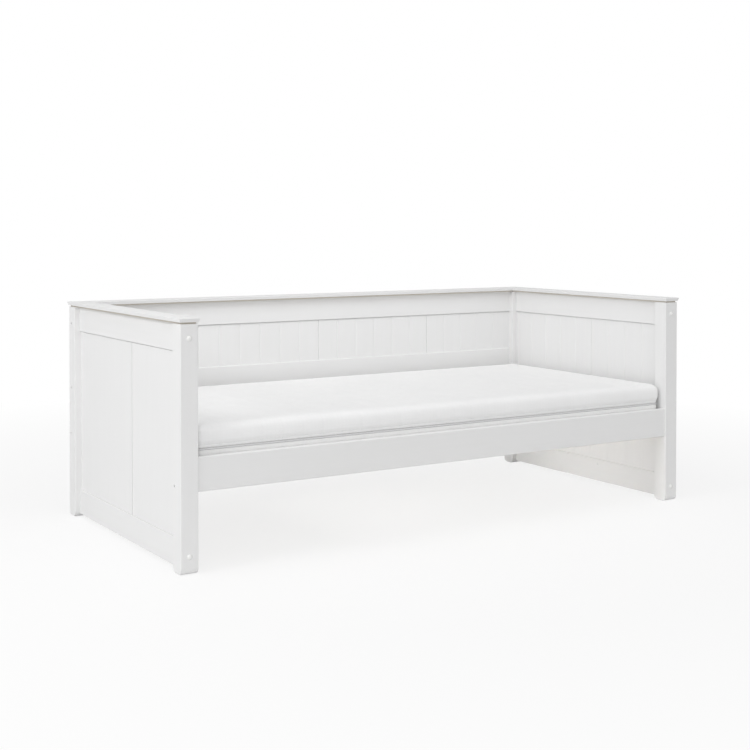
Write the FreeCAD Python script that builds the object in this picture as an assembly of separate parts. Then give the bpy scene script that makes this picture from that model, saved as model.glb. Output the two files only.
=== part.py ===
import FreeCAD, Part
import math
import os

# White panelled daybed, enclosed on both ends and along the back, open at the front.
# Millimetres. +X runs along the length, +Y points to the back, +Z up.
# The origin is on the floor, under the middle of the daybed.

# Driving dimensions
LENGTH = 2128.0            # over the outer faces of the posts
DEPTH = 1010.0             # over the front and rear faces of the posts
POST = 60.0                # square section of a post
POST_HEIGHT = 782.0
CAP_THICK = 18.0
CAP_OVERHANG = 6.0         # past the posts, all round, at the top of a cap
CAP_DRAW_IN = 4.5          # how far a cap's sides slope in towards the posts
CAP_REBATE_HEIGHT = 5.0    # of the rebate that runs round under the edge of a cap
CAP_REBATE_DEPTH = 5.0     # behind the faces of the posts
FLOOR_GAP = 12.0           # under the bottom rails of the ends
RAIL_HEIGHT = 90.0         # every rail that frames a panel
RAIL_THICK = 22.0
BACK_SETBACK = 25.0        # from the front face of a rear post to the back's rails
BACK_BOTTOM = 435.0        # underside of the back's lower rail
PANEL_THICK = 10.0
TONGUE_DEPTH = 8.0         # how far a panel stands in the groove of a rail or a post
END_BOARDS = (4, 5)        # board widths marked on the front and the rear panel of an end
BACK_BOARDS = (5, 6, 6, 5)  # board widths marked on the four panels of the back
V_WIDTH = 5.0              # the V grooves that mark the boards
V_DEPTH = 1.6
JOINT_TONGUE = 6.0         # tongue between two panels
JOINT_THICK = 3.0
JOINT_PLAY = 0.5           # empty depth behind that tongue
JOINT_GAP = 0.8            # open line between two panels
JOINT_SLOT = 5.0           # slot down to the tongue, on the face without V grooves
GROOVE_PLAY = 1.0          # empty depth behind a panel's edge
SHADOW_HEIGHT = 3.0        # groove across both faces of a panel, right under the top rail
SHADOW_DEPTH = 3.0

BED_RAIL_BOTTOM = 255.0
BED_RAIL_HEIGHT = 110.0
BED_RAIL_THICK = 22.0
BED_RAIL_SETBACK = 5.0     # behind the face of the posts
LEDGER_WIDTH = 44.0
LEDGER_HEIGHT = 36.0
SLATS = 14
SLAT_WIDTH = 70.0
SLAT_THICK = 18.0
SLAT_LENGTH = 950.0
TAPE_WIDTH = 25.0
TAPE_THICK = 1.5
TAPE_OFFSET = 300.0        # of each tape from the middle of the slats
TAPE_SHORT = 5.0           # from the last slat's outer edge to the end of a tape
SLAT_END_GAP = 20.0        # from a post to the first slat

MATTRESS_LENGTH = 1994.0   # a 2000 mm mattress, with room to pass the caps
MATTRESS_WIDTH = 900.0
MATTRESS_FRONT = 30.0      # behind the front face of the posts
MATTRESS_LIFT = 0.3        # free height over the slats
ZIP_HEIGHT = 73.0          # middle of the zip, over the underside
ZIP_BAND = 6.0
ZIP_INSET = 4.0
ZIP_TAPE_INSET = 1.5       # behind the edges of the cover
COVER_THICK = 10.0
MATTRESS_CORNER = 20.0
SLIDER_FROM_END = 130.0    # zip slider, from the right end of the mattress
SLIDER_BODY = (12.0, 3.0, 5.6)
SLIDER_TAB = (22.0, 1.2, 5.0)
SLIDER_TAB_START = 4.0     # from the middle of the slider

# Fasteners
FIT = 0.05                 # free space round a dowel, a shaft or a barrel nut
DOWEL_R = 4.0
DOWEL_LENGTH = 30.0
DOWEL_PLAY = 0.3           # empty depth at each end of a dowel
END_DOWEL_INSET = 20.0     # from the edge of an end's rail to a dowel
BACK_DOWEL_LOW = 15.0      # from the lower and the upper edge of a back rail
BACK_DOWEL_HIGH = 12.0
BED_DOWEL_INSET = 25.0     # from the edge of a bed rail
CAP_HOLE = 12.0            # depth of a dowel hole in a cap
CAP_DOWEL_PLAY = 0.5
END_CAP_SPACING = 330.0    # between the dowels under a cap
BACK_CAP_SPACING = 400.0
M6_R = 3.0
M6_HEAD_R = 5.0
M6_HEAD = 4.5
M6_SINK = 5.5              # depth of the head's seat under the face of the post
COVER_R = 9.0              # domed bolt cover
COVER_HEIGHT = 5.4
M5_R = 2.5
M5_HEAD_R = 4.0
M5_HEAD = 5.0
M5_SINK = 10.0
NUT_R = 5.0
NUT_LENGTH = 14.0
NUT_DEPTH = 18.0           # of its hole across a rail, so the nut lies under the surface
NUT_INSET = 30.0           # from the end of the rail to the nut
BOLT_PAST_NUT = 8.0
BORE_SPARE = 6.0           # past the tip of a bolt
HEX = 2.2                  # half the width of the key socket
SOCKET_SHARE = 0.6         # depth of the key socket, as a share of the head
SCREW_R = 2.0
SCREW_HEAD_R = 3.8
SCREW_HEAD = 2.2
SCREW_LENGTH = 55.0
SCREW_TIP = 5.0
SCREW_TIP_R = 0.3
SCREW_SHORT = 1.0          # empty depth past the tip
SCREW_DROP = 0.3           # of a slat screw's head under the slat's face
LEDGER_SCREWS = 7
LEDGER_SCREW_INSET = 120.0  # from the end of the ledger
SLAT_SCREW_LENGTH = 35.0
BACK_BOLT_DROP = 17.0      # the back's upper bolts pass under the bolts of the ends
PILOT_R = 3.0              # spare hole in each end for a drawer guide
PILOT_Y = -96.0
PILOT_Z = 82.0
PILOT_DEPTH = 10.0

# Edge shapes
POST_EDGE = 2.0
POST_TOP_EDGE = 1.5
FOOT_ROUND = 22.0
FOOT_SIDE_ROUND = 7.0
RAIL_EDGE = 4.5            # upper edges of the rails under a panel
RAIL_CRISP_EDGE = 1.5      # the other long edges of the rails that frame a panel
BED_RAIL_EDGE = 4.0
LEDGER_EDGE = 1.5
CAP_EDGE = 1.5
SLAT_EDGE = 3.0

# Places that follow from them
X_OUT = LENGTH / 2
X_IN = X_OUT - POST
Y_OUT = DEPTH / 2
Y_IN = Y_OUT - POST
TOP = POST_HEIGHT + CAP_THICK
END_RAIL_X = X_OUT - POST / 2
BACK_Y = Y_IN + BACK_SETBACK + RAIL_THICK / 2
LOW_RAIL = (FLOOR_GAP, FLOOR_GAP + RAIL_HEIGHT)
HIGH_RAIL = (POST_HEIGHT - RAIL_HEIGHT, POST_HEIGHT)
BACK_LOW_RAIL = (BACK_BOTTOM, BACK_BOTTOM + RAIL_HEIGHT)
BED_RAIL_TOP = BED_RAIL_BOTTOM + BED_RAIL_HEIGHT
BED_RAIL_Y = Y_OUT - BED_RAIL_SETBACK - BED_RAIL_THICK / 2
LEDGER_Y = BED_RAIL_Y - BED_RAIL_THICK / 2 - LEDGER_WIDTH / 2
LEDGER_TOP = BED_RAIL_BOTTOM + LEDGER_HEIGHT
SLAT_TOP = LEDGER_TOP + SLAT_THICK
GROOVE = PANEL_THICK / 2 + FIT
GROOVE_DEPTH = TONGUE_DEPTH + GROOVE_PLAY
BORE_LENGTH = NUT_INSET + BOLT_PAST_NUT + BORE_SPARE
X_AXIS = FreeCAD.Vector(1, 0, 0)
Y_AXIS = FreeCAD.Vector(0, 1, 0)
Z_AXIS = FreeCAD.Vector(0, 0, 1)


def box(x0, x1, y0, y1, z0, z1):
    corner = FreeCAD.Vector(min(x0, x1), min(y0, y1), min(z0, z1))
    return Part.makeBox(abs(x1 - x0), abs(y1 - y0), abs(z1 - z0), corner)


def rod(x, y, z, axis, radius, length):
    """A round bar from (x, y, z), along an axis for a length that may be negative."""
    direction = axis if length > 0 else axis * -1
    return Part.makeCylinder(radius, abs(length), FreeCAD.Vector(x, y, z), direction)


def edges_along(shape, axis):
    """The straight edges of a plain board that run along an axis."""
    found = []
    for edge in shape.Edges:
        start, end = edge.firstVertex().Point, edge.lastVertex().Point
        run = end - start
        if run.Length > 1 and abs(abs(run.dot(axis)) - run.Length) < 1e-6:
            found.append(edge)
    return found


def board(x0, x1, y0, y1, z0, z1, axis, radius):
    """A board whose four long edges are eased."""
    shape = box(x0, x1, y0, y1, z0, z1)
    return shape.makeFillet(radius, edges_along(shape, axis))


def rail_board(x0, x1, y0, y1, low, high, axis):
    """A rail that frames a panel. The lower one of a pair has its upper edges well rounded."""
    upper = RAIL_EDGE if high < HIGH_RAIL[0] else RAIL_CRISP_EDGE
    shape = box(x0, x1, y0, y1, low, high)
    above = [edge for edge in edges_along(shape, axis) if edge.CenterOfMass.z > high - 1]
    shape = shape.makeFillet(upper, above)
    below = [edge for edge in edges_along(shape, axis) if edge.CenterOfMass.z < low + 1]
    return shape.makeFillet(RAIL_CRISP_EDGE, below)


def mirror_x(shape):
    return shape.mirror(FreeCAD.Vector(0, 0, 0), X_AXIS)


def mirror_y(shape):
    return shape.mirror(FreeCAD.Vector(0, 0, 0), Y_AXIS)


def both_ends(shapes):
    return shapes + [mirror_x(shape) for shape in shapes]


def write(node, shape):
    if isinstance(shape, list):
        shape = Part.makeCompound(shape)
    if not shape.isValid():
        print("not valid:", node)
    for one in shape.Solids:
        if one.Volume <= 0:
            print("turned inside out:", node)
    shape.exportStep("parts/" + node + ".step")
    print(f"{node}: {len(shape.Solids)} solid(s), {shape.Volume / 1000:.1f} cm3")


# Holes, shared by the pieces that a fastener passes through

def end_bolt_heights():
    return [sum(LOW_RAIL) / 2, sum(HIGH_RAIL) / 2]


def back_bolt_heights():
    return [sum(BACK_LOW_RAIL) / 2, sum(HIGH_RAIL) / 2 - BACK_BOLT_DROP]


def cross_bolts():
    """Side bolts of the left end, as (y, z): two for the back, one for each side of the bed frame."""
    bolts = [(BACK_Y, z) for z in back_bolt_heights()]
    bolts.append((BED_RAIL_Y, BED_RAIL_BOTTOM + BED_RAIL_HEIGHT / 2))
    bolts.append((-LEDGER_Y, BED_RAIL_BOTTOM + LEDGER_HEIGHT / 2))
    return bolts


def end_dowel_places():
    """Height of each dowel between a post and a rail of an end."""
    places = []
    for low, high in (LOW_RAIL, HIGH_RAIL):
        places += [low + END_DOWEL_INSET, high - END_DOWEL_INSET]
    return places


def back_dowel_places():
    places = []
    for low, high in (BACK_LOW_RAIL, HIGH_RAIL):
        places += [low + BACK_DOWEL_LOW, high - BACK_DOWEL_HIGH]
    return places


def bed_rail_dowel_places():
    return [BED_RAIL_BOTTOM + BED_DOWEL_INSET, BED_RAIL_TOP - BED_DOWEL_INSET]


# Ends: two posts, two rails, two panels and a cap

def front_post():
    """Left front post, without the holes of the side bolts."""
    post = box(-X_OUT, -X_IN, -Y_OUT, -Y_IN, 0, POST_HEIGHT)
    post = post.makeFillet(POST_EDGE, edges_along(post, Z_AXIS))
    foot = box(-X_OUT, -X_IN, -Y_OUT, -Y_IN, 0, POST_HEIGHT)
    foot = foot.makeFillet(FOOT_ROUND, [e for e in edges_along(foot, X_AXIS) if e.CenterOfMass.z < 1])
    top_x = [e for e in edges_along(foot, X_AXIS) if e.CenterOfMass.z > POST_HEIGHT - 1]
    post = post.common(foot.makeFillet(POST_TOP_EDGE, top_x))
    side = box(-X_OUT, -X_IN, -Y_OUT, -Y_IN, 0, POST_HEIGHT)
    side = side.makeFillet(FOOT_SIDE_ROUND, [e for e in edges_along(side, Y_AXIS) if e.CenterOfMass.z < 1])
    top_y = [e for e in edges_along(side, Y_AXIS) if e.CenterOfMass.z > POST_HEIGHT - 1]
    post = post.common(side.makeFillet(POST_TOP_EDGE, top_y))
    groove_low = LOW_RAIL[1] - GROOVE_DEPTH
    groove_high = HIGH_RAIL[0] + GROOVE_DEPTH
    cuts = [box(-END_RAIL_X - GROOVE, -END_RAIL_X + GROOVE, -Y_IN - GROOVE_DEPTH, -Y_IN,
                groove_low, groove_high)]
    for z in end_bolt_heights():
        cuts.append(rod(-END_RAIL_X, -Y_OUT, z, Y_AXIS, M6_R + FIT, POST))
        cuts.append(rod(-END_RAIL_X, -Y_OUT, z, Y_AXIS, M6_HEAD_R + FIT, M6_SINK))
    for z in end_dowel_places():
        cuts.append(rod(-END_RAIL_X, -Y_IN, z, Y_AXIS, DOWEL_R + FIT, -DOWEL_LENGTH / 2))
    return post.cut(cuts)


def side_bolt_hole(y, z):
    hole = rod(-X_OUT, y, z, X_AXIS, M5_R + FIT, POST)
    return hole.fuse(rod(-X_OUT, y, z, X_AXIS, M5_HEAD_R + FIT, M5_SINK))


def left_front_post():
    cuts = [side_bolt_hole(y, z) for y, z in cross_bolts() if y < 0]
    for z in bed_rail_dowel_places():
        cuts.append(rod(-X_IN, -BED_RAIL_Y, z, X_AXIS, DOWEL_R + FIT, -DOWEL_LENGTH / 2))
    return front_post().cut(cuts)


def left_rear_post():
    cuts = [side_bolt_hole(y, z) for y, z in cross_bolts() if y > 0]
    for z in bed_rail_dowel_places():
        cuts.append(rod(-X_IN, BED_RAIL_Y, z, X_AXIS, DOWEL_R + FIT, -DOWEL_LENGTH / 2))
    for z in back_dowel_places():
        cuts.append(rod(-X_IN, BACK_Y, z, X_AXIS, DOWEL_R + FIT, -DOWEL_LENGTH / 2))
    cuts.append(box(-X_IN - GROOVE_DEPTH, -X_IN, BACK_Y - GROOVE, BACK_Y + GROOVE,
                    BACK_LOW_RAIL[1] - GROOVE_DEPTH, HIGH_RAIL[0] + GROOVE_DEPTH))
    return mirror_y(front_post()).cut(cuts)


def end_rail(low, high, hidden):
    """A rail of the left end, bored at both of its ends for a bolt, a nut and two dowels.

    hidden is the height of the edge that the nuts go in from: the one under the cap or over the floor.
    """
    x0, x1 = -END_RAIL_X - RAIL_THICK / 2, -END_RAIL_X + RAIL_THICK / 2
    rail = rail_board(x0, x1, -Y_IN, Y_IN, low, high, Y_AXIS)
    middle = (low + high) / 2
    nut_bore = (RAIL_HEIGHT + NUT_LENGTH) / 2 * (1 if hidden == low else -1)
    cuts = []
    for side in (-1, 1):
        end = side * Y_IN
        nut = side * (Y_IN - NUT_INSET)
        cuts.append(rod(-END_RAIL_X, end, middle, Y_AXIS, M6_R + FIT, -side * BORE_LENGTH))
        cuts.append(rod(-END_RAIL_X, nut, hidden, Z_AXIS, NUT_R + FIT, nut_bore))
        for z in (low + END_DOWEL_INSET, high - END_DOWEL_INSET):
            cuts.append(rod(-END_RAIL_X, end, z, Y_AXIS, DOWEL_R + FIT, -side * DOWEL_LENGTH / 2))
    return rail.cut(cuts)


def left_bottom_rail():
    low, high = LOW_RAIL
    groove = box(-END_RAIL_X - GROOVE, -END_RAIL_X + GROOVE, -Y_IN, Y_IN, high - GROOVE_DEPTH, high)
    pilot = rod(-END_RAIL_X + RAIL_THICK / 2, PILOT_Y, PILOT_Z, X_AXIS, PILOT_R, -PILOT_DEPTH)
    return end_rail(low, high, low).cut([groove, pilot])


def left_top_rail():
    low, high = HIGH_RAIL
    cuts = [box(-END_RAIL_X - GROOVE, -END_RAIL_X + GROOVE, -Y_IN, Y_IN, low, low + GROOVE_DEPTH)]
    for y in end_cap_dowels():
        cuts.append(rod(-END_RAIL_X, y, high, Z_AXIS, DOWEL_R + FIT, -DOWEL_LENGTH / 2))
    return end_rail(low, high, high).cut(cuts)


def v_cut(position, face, inward, low, high, along):
    """A V groove up a panel: at a position along it, cut into its face."""
    half = V_WIDTH / 2
    over = 0.5
    wide = half * (V_DEPTH + over) / V_DEPTH
    points = [(position - wide, face - inward * over), (position + wide, face - inward * over),
              (position, face + inward * V_DEPTH)]
    if along == "x":
        corners = [FreeCAD.Vector(a, b, low) for a, b in points]
    else:
        corners = [FreeCAD.Vector(b, a, low) for a, b in points]
    wire = Part.makePolygon(corners + corners[:1])
    return Part.Face(wire).extrude(FreeCAD.Vector(0, 0, high - low))


def panel_run(boards, start, pitch):
    """First edge and last edge of each panel in a row of panels."""
    edges = [start]
    for count in boards:
        edges.append(edges[-1] + count * pitch)
    return list(zip(edges[:-1], edges[1:]))


def grooved_panel(first, last, ends, pitch, faces, show, along):
    """A panel with V grooves on its shown face, and a tongue and a groove on its long edges.

    ends says for each long edge whether it stands in a post. faces are its two faces, show is
    the one with the grooves, and the panel stands TONGUE_DEPTH deep in the rails.
    """
    low, high = panel_heights(along)
    start = first - TONGUE_DEPTH if ends[0] else first + JOINT_GAP / 2
    stop = last + TONGUE_DEPTH if ends[1] else last - JOINT_GAP / 2
    middle = sum(faces) / 2
    inward = 1 if show == faces[0] else -1

    def slab(a, b, c, d, z0, z1):
        return box(a, b, c, d, z0, z1) if along == "x" else box(c, d, a, b, z0, z1)

    panel = slab(start, stop, faces[0], faces[1], low, high)
    if not ends[1]:
        tongue = slab(stop, stop + JOINT_TONGUE, middle - JOINT_THICK / 2, middle + JOINT_THICK / 2,
                      low, high)
        panel = panel.fuse(tongue)
    cuts = []
    if not ends[0]:
        half = JOINT_THICK / 2 + FIT
        cuts.append(slab(start, start + JOINT_TONGUE + JOINT_PLAY, middle - half, middle + half,
                         low, high))
    count = round((last - first) / pitch)
    for k in range(count + 1):
        at_edge = (k == 0 and ends[0]) or (k == count and ends[1])
        if at_edge:
            continue
        cuts.append(v_cut(first + k * pitch, show, inward, low, high, along))
    plain = faces[1] if show == faces[0] else faces[0]
    tongue_face = middle + inward * JOINT_THICK / 2
    for joint, at_end in ((first, ends[0]), (last, ends[1])):
        if not at_end:
            cuts.append(slab(joint - JOINT_SLOT / 2, joint + JOINT_SLOT / 2, plain, tongue_face, low, high))
    rail = HIGH_RAIL[0]
    for face, way in ((faces[0], 1), (faces[1], -1)):
        cuts.append(slab(start, stop + JOINT_TONGUE, face, face + way * SHADOW_DEPTH,
                         rail - SHADOW_HEIGHT, rail))
    return panel.cut(cuts)


def panel_heights(along):
    low = BACK_LOW_RAIL[1] if along == "x" else LOW_RAIL[1]
    return low - TONGUE_DEPTH, HIGH_RAIL[0] + TONGUE_DEPTH


def left_panels():
    pitch = 2 * Y_IN / sum(END_BOARDS)
    faces = (-END_RAIL_X - PANEL_THICK / 2, -END_RAIL_X + PANEL_THICK / 2)
    runs = panel_run(END_BOARDS, -Y_IN, pitch)
    panels = []
    for k, (first, last) in enumerate(runs):
        ends = (k == 0, k == len(runs) - 1)
        panels.append(grooved_panel(first, last, ends, pitch, faces, faces[1], "y"))
    return panels


def end_cap_dowels():
    return [k * END_CAP_SPACING for k in (-1, 0, 1)]


def back_cap_dowels():
    return [k * BACK_CAP_SPACING for k in (-2, -1, 0, 1, 2)]


def cap_section(low, high):
    """Outline of a cap board cut across, as (place, height): sides that slope in, over a rebate."""
    foot = CAP_OVERHANG + CAP_REBATE_DEPTH
    rebate_top = POST_HEIGHT + CAP_REBATE_HEIGHT
    return [(low + foot, POST_HEIGHT), (high - foot, POST_HEIGHT), (high - foot, rebate_top),
            (high - CAP_DRAW_IN, rebate_top), (high, TOP), (low, TOP), (low + CAP_DRAW_IN, rebate_top),
            (low + foot, rebate_top)]


def cap_form(x0, x1, y0, y1):
    """A cap board without its holes, with the same section in both directions."""
    across_x = [FreeCAD.Vector(a, y0, z) for a, z in cap_section(x0, x1)]
    across_y = [FreeCAD.Vector(x0, a, z) for a, z in cap_section(y0, y1)]
    first = Part.Face(Part.makePolygon(across_x + across_x[:1])).extrude(FreeCAD.Vector(0, y1 - y0, 0))
    second = Part.Face(Part.makePolygon(across_y + across_y[:1])).extrude(FreeCAD.Vector(x1 - x0, 0, 0))
    return first.common(second)


def left_cap_form():
    return cap_form(-X_OUT - CAP_OVERHANG, -X_IN + CAP_OVERHANG, -Y_OUT - CAP_OVERHANG, Y_OUT + CAP_OVERHANG)


def left_cap_space():
    """What the back's cap leaves free for the left cap: its form, with the rebate filled."""
    past = CAP_OVERHANG - CAP_DRAW_IN
    filled = box(-X_OUT - past, -X_IN + past, -Y_OUT - past, Y_OUT + past,
                 POST_HEIGHT, POST_HEIGHT + CAP_REBATE_HEIGHT)
    return left_cap_form().fuse(filled)


def left_cap():
    shape = left_cap_form()
    rim = [edge for edge in shape.Edges if edge.BoundBox.ZMin > TOP - 0.01]
    shape = shape.makeFillet(CAP_EDGE, rim)
    cuts = [rod(-END_RAIL_X, y, POST_HEIGHT, Z_AXIS, DOWEL_R + FIT, CAP_HOLE)
            for y in end_cap_dowels()]
    return shape.cut(cuts)


def back_cap():
    """Runs between the caps of the ends, and is cut to fit their sloping sides."""
    shape = cap_form(-X_OUT, X_OUT, Y_IN - CAP_OVERHANG, Y_OUT + CAP_OVERHANG)
    rim = [edge for edge in edges_along(shape, X_AXIS) if edge.CenterOfMass.z > TOP - 0.01]
    shape = shape.makeFillet(CAP_EDGE, rim)
    cuts = [rod(x, BACK_Y, POST_HEIGHT, Z_AXIS, DOWEL_R + FIT, CAP_HOLE)
            for x in back_cap_dowels()]
    return shape.cut(cuts + both_ends([left_cap_space()]))


# Back: two rails, four panels and its cap

def back_rail(low, high, bolt_height, dowels):
    y0, y1 = BACK_Y - RAIL_THICK / 2, BACK_Y + RAIL_THICK / 2
    rail = rail_board(-X_IN, X_IN, y0, y1, low, high, X_AXIS)
    cuts = []
    for side in (-1, 1):
        end = side * X_IN
        nut = side * (X_IN - NUT_INSET)
        cuts.append(rod(end, BACK_Y, bolt_height, X_AXIS, M5_R + FIT, -side * BORE_LENGTH))
        cuts.append(rod(nut, y1, bolt_height, Y_AXIS, NUT_R + FIT, -NUT_DEPTH))
        for z in dowels:
            cuts.append(rod(end, BACK_Y, z, X_AXIS, DOWEL_R + FIT, -side * DOWEL_LENGTH / 2))
    return rail.cut(cuts)


def back_bottom_rail():
    low, high = BACK_LOW_RAIL
    groove = box(-X_IN, X_IN, BACK_Y - GROOVE, BACK_Y + GROOVE, high - GROOVE_DEPTH, high)
    return back_rail(low, high, back_bolt_heights()[0], back_dowel_places()[:2]).cut(groove)


def back_top_rail():
    low, high = HIGH_RAIL
    cuts = [box(-X_IN, X_IN, BACK_Y - GROOVE, BACK_Y + GROOVE, low, low + GROOVE_DEPTH)]
    for x in back_cap_dowels():
        cuts.append(rod(x, BACK_Y, high, Z_AXIS, DOWEL_R + FIT, -DOWEL_LENGTH / 2))
    return back_rail(low, high, back_bolt_heights()[1], back_dowel_places()[2:]).cut(cuts)


def back_panels():
    pitch = 2 * X_IN / sum(BACK_BOARDS)
    faces = (BACK_Y - PANEL_THICK / 2, BACK_Y + PANEL_THICK / 2)
    runs = panel_run(BACK_BOARDS, -X_IN, pitch)
    panels = []
    for k, (first, last) in enumerate(runs):
        ends = (k == 0, k == len(runs) - 1)
        panels.append(grooved_panel(first, last, ends, pitch, faces, faces[0], "x"))
    return panels


# Bed frame: rails, ledgers and slats

def bed_rail(side):
    """side is -1 for the front rail, 1 for the rear rail."""
    y = side * BED_RAIL_Y
    y0, y1 = y - BED_RAIL_THICK / 2, y + BED_RAIL_THICK / 2
    rail = board(-X_IN, X_IN, y0, y1, BED_RAIL_BOTTOM, BED_RAIL_TOP, X_AXIS, BED_RAIL_EDGE)
    cuts = []
    for end in (-1, 1):
        for z in bed_rail_dowel_places():
            cuts.append(rod(end * X_IN, y, z, X_AXIS, DOWEL_R + FIT, -end * DOWEL_LENGTH / 2))
        if side > 0:
            middle = BED_RAIL_BOTTOM + BED_RAIL_HEIGHT / 2
            cuts.append(rod(end * X_IN, y, middle, X_AXIS, M5_R + FIT, -end * BORE_LENGTH))
            cuts.append(rod(end * (X_IN - NUT_INSET), y0, middle, Y_AXIS, NUT_R + FIT, NUT_DEPTH))
    inner = y - side * BED_RAIL_THICK / 2
    for x in ledger_screw_places():
        cuts.append(rod(x, inner, ledger_middle(), Y_AXIS, SCREW_R + FIT,
                        side * (SCREW_LENGTH - LEDGER_WIDTH)))
    return rail.cut(cuts)


def ledger_middle():
    return BED_RAIL_BOTTOM + LEDGER_HEIGHT / 2


def ledger_screw_places():
    first = -X_IN + LEDGER_SCREW_INSET
    step = -2 * first / (LEDGER_SCREWS - 1)
    return [first + k * step for k in range(LEDGER_SCREWS)]


def ledger(side):
    """The strip that carries the slats. side is -1 in front, 1 at the rear."""
    y = side * LEDGER_Y
    y0, y1 = y - LEDGER_WIDTH / 2, y + LEDGER_WIDTH / 2
    strip = board(-X_IN, X_IN, y0, y1, BED_RAIL_BOTTOM, LEDGER_TOP, X_AXIS, LEDGER_EDGE)
    inner = y - side * LEDGER_WIDTH / 2
    cuts = []
    for x in ledger_screw_places():
        cuts.append(rod(x, inner, ledger_middle(), Y_AXIS, SCREW_R + FIT, side * LEDGER_WIDTH))
        cuts.append(rod(x, inner, ledger_middle(), Y_AXIS, SCREW_HEAD_R + FIT, side * SCREW_HEAD))
    if side < 0:
        for end in (-1, 1):
            nut = end * (X_IN - NUT_INSET)
            cuts.append(rod(end * X_IN, y, ledger_middle(), X_AXIS, M5_R + FIT, -end * BORE_LENGTH))
            cuts.append(rod(nut, y, BED_RAIL_BOTTOM, Z_AXIS, NUT_R + FIT, ledger_nut_top()))
    for x in (slat_places()[0], slat_places()[-1]):
        cuts.append(rod(x, y, LEDGER_TOP, Z_AXIS, SCREW_R + FIT, -(SLAT_SCREW_LENGTH - SLAT_THICK)))
    return strip.cut(cuts)


def ledger_nut_top():
    return LEDGER_HEIGHT / 2 + NUT_LENGTH / 2


def slat_places():
    edge = X_IN - SLAT_END_GAP - SLAT_WIDTH / 2
    step = 2 * edge / (SLATS - 1)
    return [-edge + k * step for k in range(SLATS)]


def slats():
    boards = []
    for k, x in enumerate(slat_places()):
        half = SLAT_WIDTH / 2
        slat = board(x - half, x + half, -SLAT_LENGTH / 2, SLAT_LENGTH / 2, LEDGER_TOP, SLAT_TOP,
                     Y_AXIS, SLAT_EDGE)
        if k in (0, SLATS - 1):
            cuts = []
            for side in (-1, 1):
                y = side * LEDGER_Y
                cuts.append(rod(x, y, LEDGER_TOP, Z_AXIS, SCREW_R + FIT, SLAT_THICK))
                cuts.append(rod(x, y, SLAT_TOP, Z_AXIS, SCREW_HEAD_R + FIT, -SCREW_HEAD - SCREW_DROP))
            slat = slat.cut(cuts)
        boards.append(slat)
    return boards


def slat_tapes():
    """Two woven tapes under the slats that keep them at their spacing."""
    reach = slat_places()[-1] + SLAT_WIDTH / 2 - TAPE_SHORT
    half = TAPE_WIDTH / 2
    low, high = LEDGER_TOP - TAPE_THICK, LEDGER_TOP
    return [box(-reach, reach, y - half, y + half, low, high) for y in (-TAPE_OFFSET, TAPE_OFFSET)]


# Mattress: foam core in a quilted cover whose halves meet at a zip

def mattress_section(inset, height):
    """A rounded rectangle at a height over the underside, drawn in from the full size."""
    half_x = MATTRESS_LENGTH / 2 - inset
    half_y = MATTRESS_WIDTH / 2 - inset
    radius = MATTRESS_CORNER
    z = SLAT_TOP + MATTRESS_LIFT + height
    y_mid = -Y_OUT + MATTRESS_FRONT + MATTRESS_WIDTH / 2
    slope = radius * (1 - 0.5 ** 0.5)
    edges = []
    for sx, sy in ((1, 1), (-1, 1), (-1, -1), (1, -1)):
        on_x = FreeCAD.Vector(sx * half_x, y_mid + sy * (half_y - radius), z)
        bend = FreeCAD.Vector(sx * (half_x - slope), y_mid + sy * (half_y - slope), z)
        on_y = FreeCAD.Vector(sx * (half_x - radius), y_mid + sy * half_y, z)
        edges.append((on_x, bend, on_y) if sx * sy > 0 else (on_y, bend, on_x))
    wire = []
    for k, (start, bend, end) in enumerate(edges):
        wire.append(Part.Arc(start, bend, end).toShape())
        wire.append(Part.LineSegment(end, edges[(k + 1) % 4][0]).toShape())
    return Part.Wire(wire)


def padded_form(profile):
    return Part.makeLoft([mattress_section(inset, height) for inset, height in profile], True, True)


LOWER_PROFILE = ((16.0, 0.0), (5.0, 6.0), (0.5, 18.0), (0.0, 36.0), (1.0, 56.0))
UPPER_PROFILE = ((1.0, 90.0), (0.0, 102.0), (2.0, 118.0), (7.5, 132.0), (17.0, 143.0),
                 (32.0, 149.5), (70.0, 153.0), (150.0, 155.2), (300.0, 156.0))
CORE_PROFILE = ((0.0, 8.0), (0.0, 130.0), (8.0, 138.0))


def mattress_pieces():
    zip_low, zip_high = ZIP_HEIGHT - ZIP_BAND / 2, ZIP_HEIGHT + ZIP_BAND / 2
    core_inset = COVER_THICK + ZIP_INSET
    core = padded_form([(core_inset + inset, height) for inset, height in CORE_PROFILE])
    lower = padded_form(list(LOWER_PROFILE) + [(ZIP_INSET, zip_low)]).cut(core)
    upper = padded_form([(ZIP_INSET, zip_high)] + list(UPPER_PROFILE)).cut(core)
    tape_inset = ZIP_INSET + ZIP_TAPE_INSET
    band = padded_form([(tape_inset, zip_low), (tape_inset, zip_high)]).cut(core)
    return core, lower, upper, band


def zip_slider():
    """Small metal slider that rests on the zip at the rear right corner."""
    x = MATTRESS_LENGTH / 2 - SLIDER_FROM_END
    y = -Y_OUT + MATTRESS_FRONT + MATTRESS_WIDTH - ZIP_INSET - ZIP_TAPE_INSET
    z = SLAT_TOP + MATTRESS_LIFT + ZIP_HEIGHT
    length, depth, height = SLIDER_BODY
    body = board(x - length / 2, x + length / 2, y, y + depth, z - height / 2, z + height / 2, X_AXIS, 1.0)
    start = x + SLIDER_TAB_START
    tab_length, tab_depth, tab_height = SLIDER_TAB
    tab = board(start, start + tab_length, y + depth, y + depth + tab_depth,
                z - tab_height / 2, z + tab_height / 2, X_AXIS, 0.5)
    return body.fuse(tab)


# Fasteners

def dowel(x, y, z, axis):
    """A dowel whose middle is at (x, y, z)."""
    half = DOWEL_LENGTH / 2 - DOWEL_PLAY
    start = FreeCAD.Vector(x, y, z) - axis * half
    return Part.makeCylinder(DOWEL_R, 2 * half, start, axis)


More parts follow.
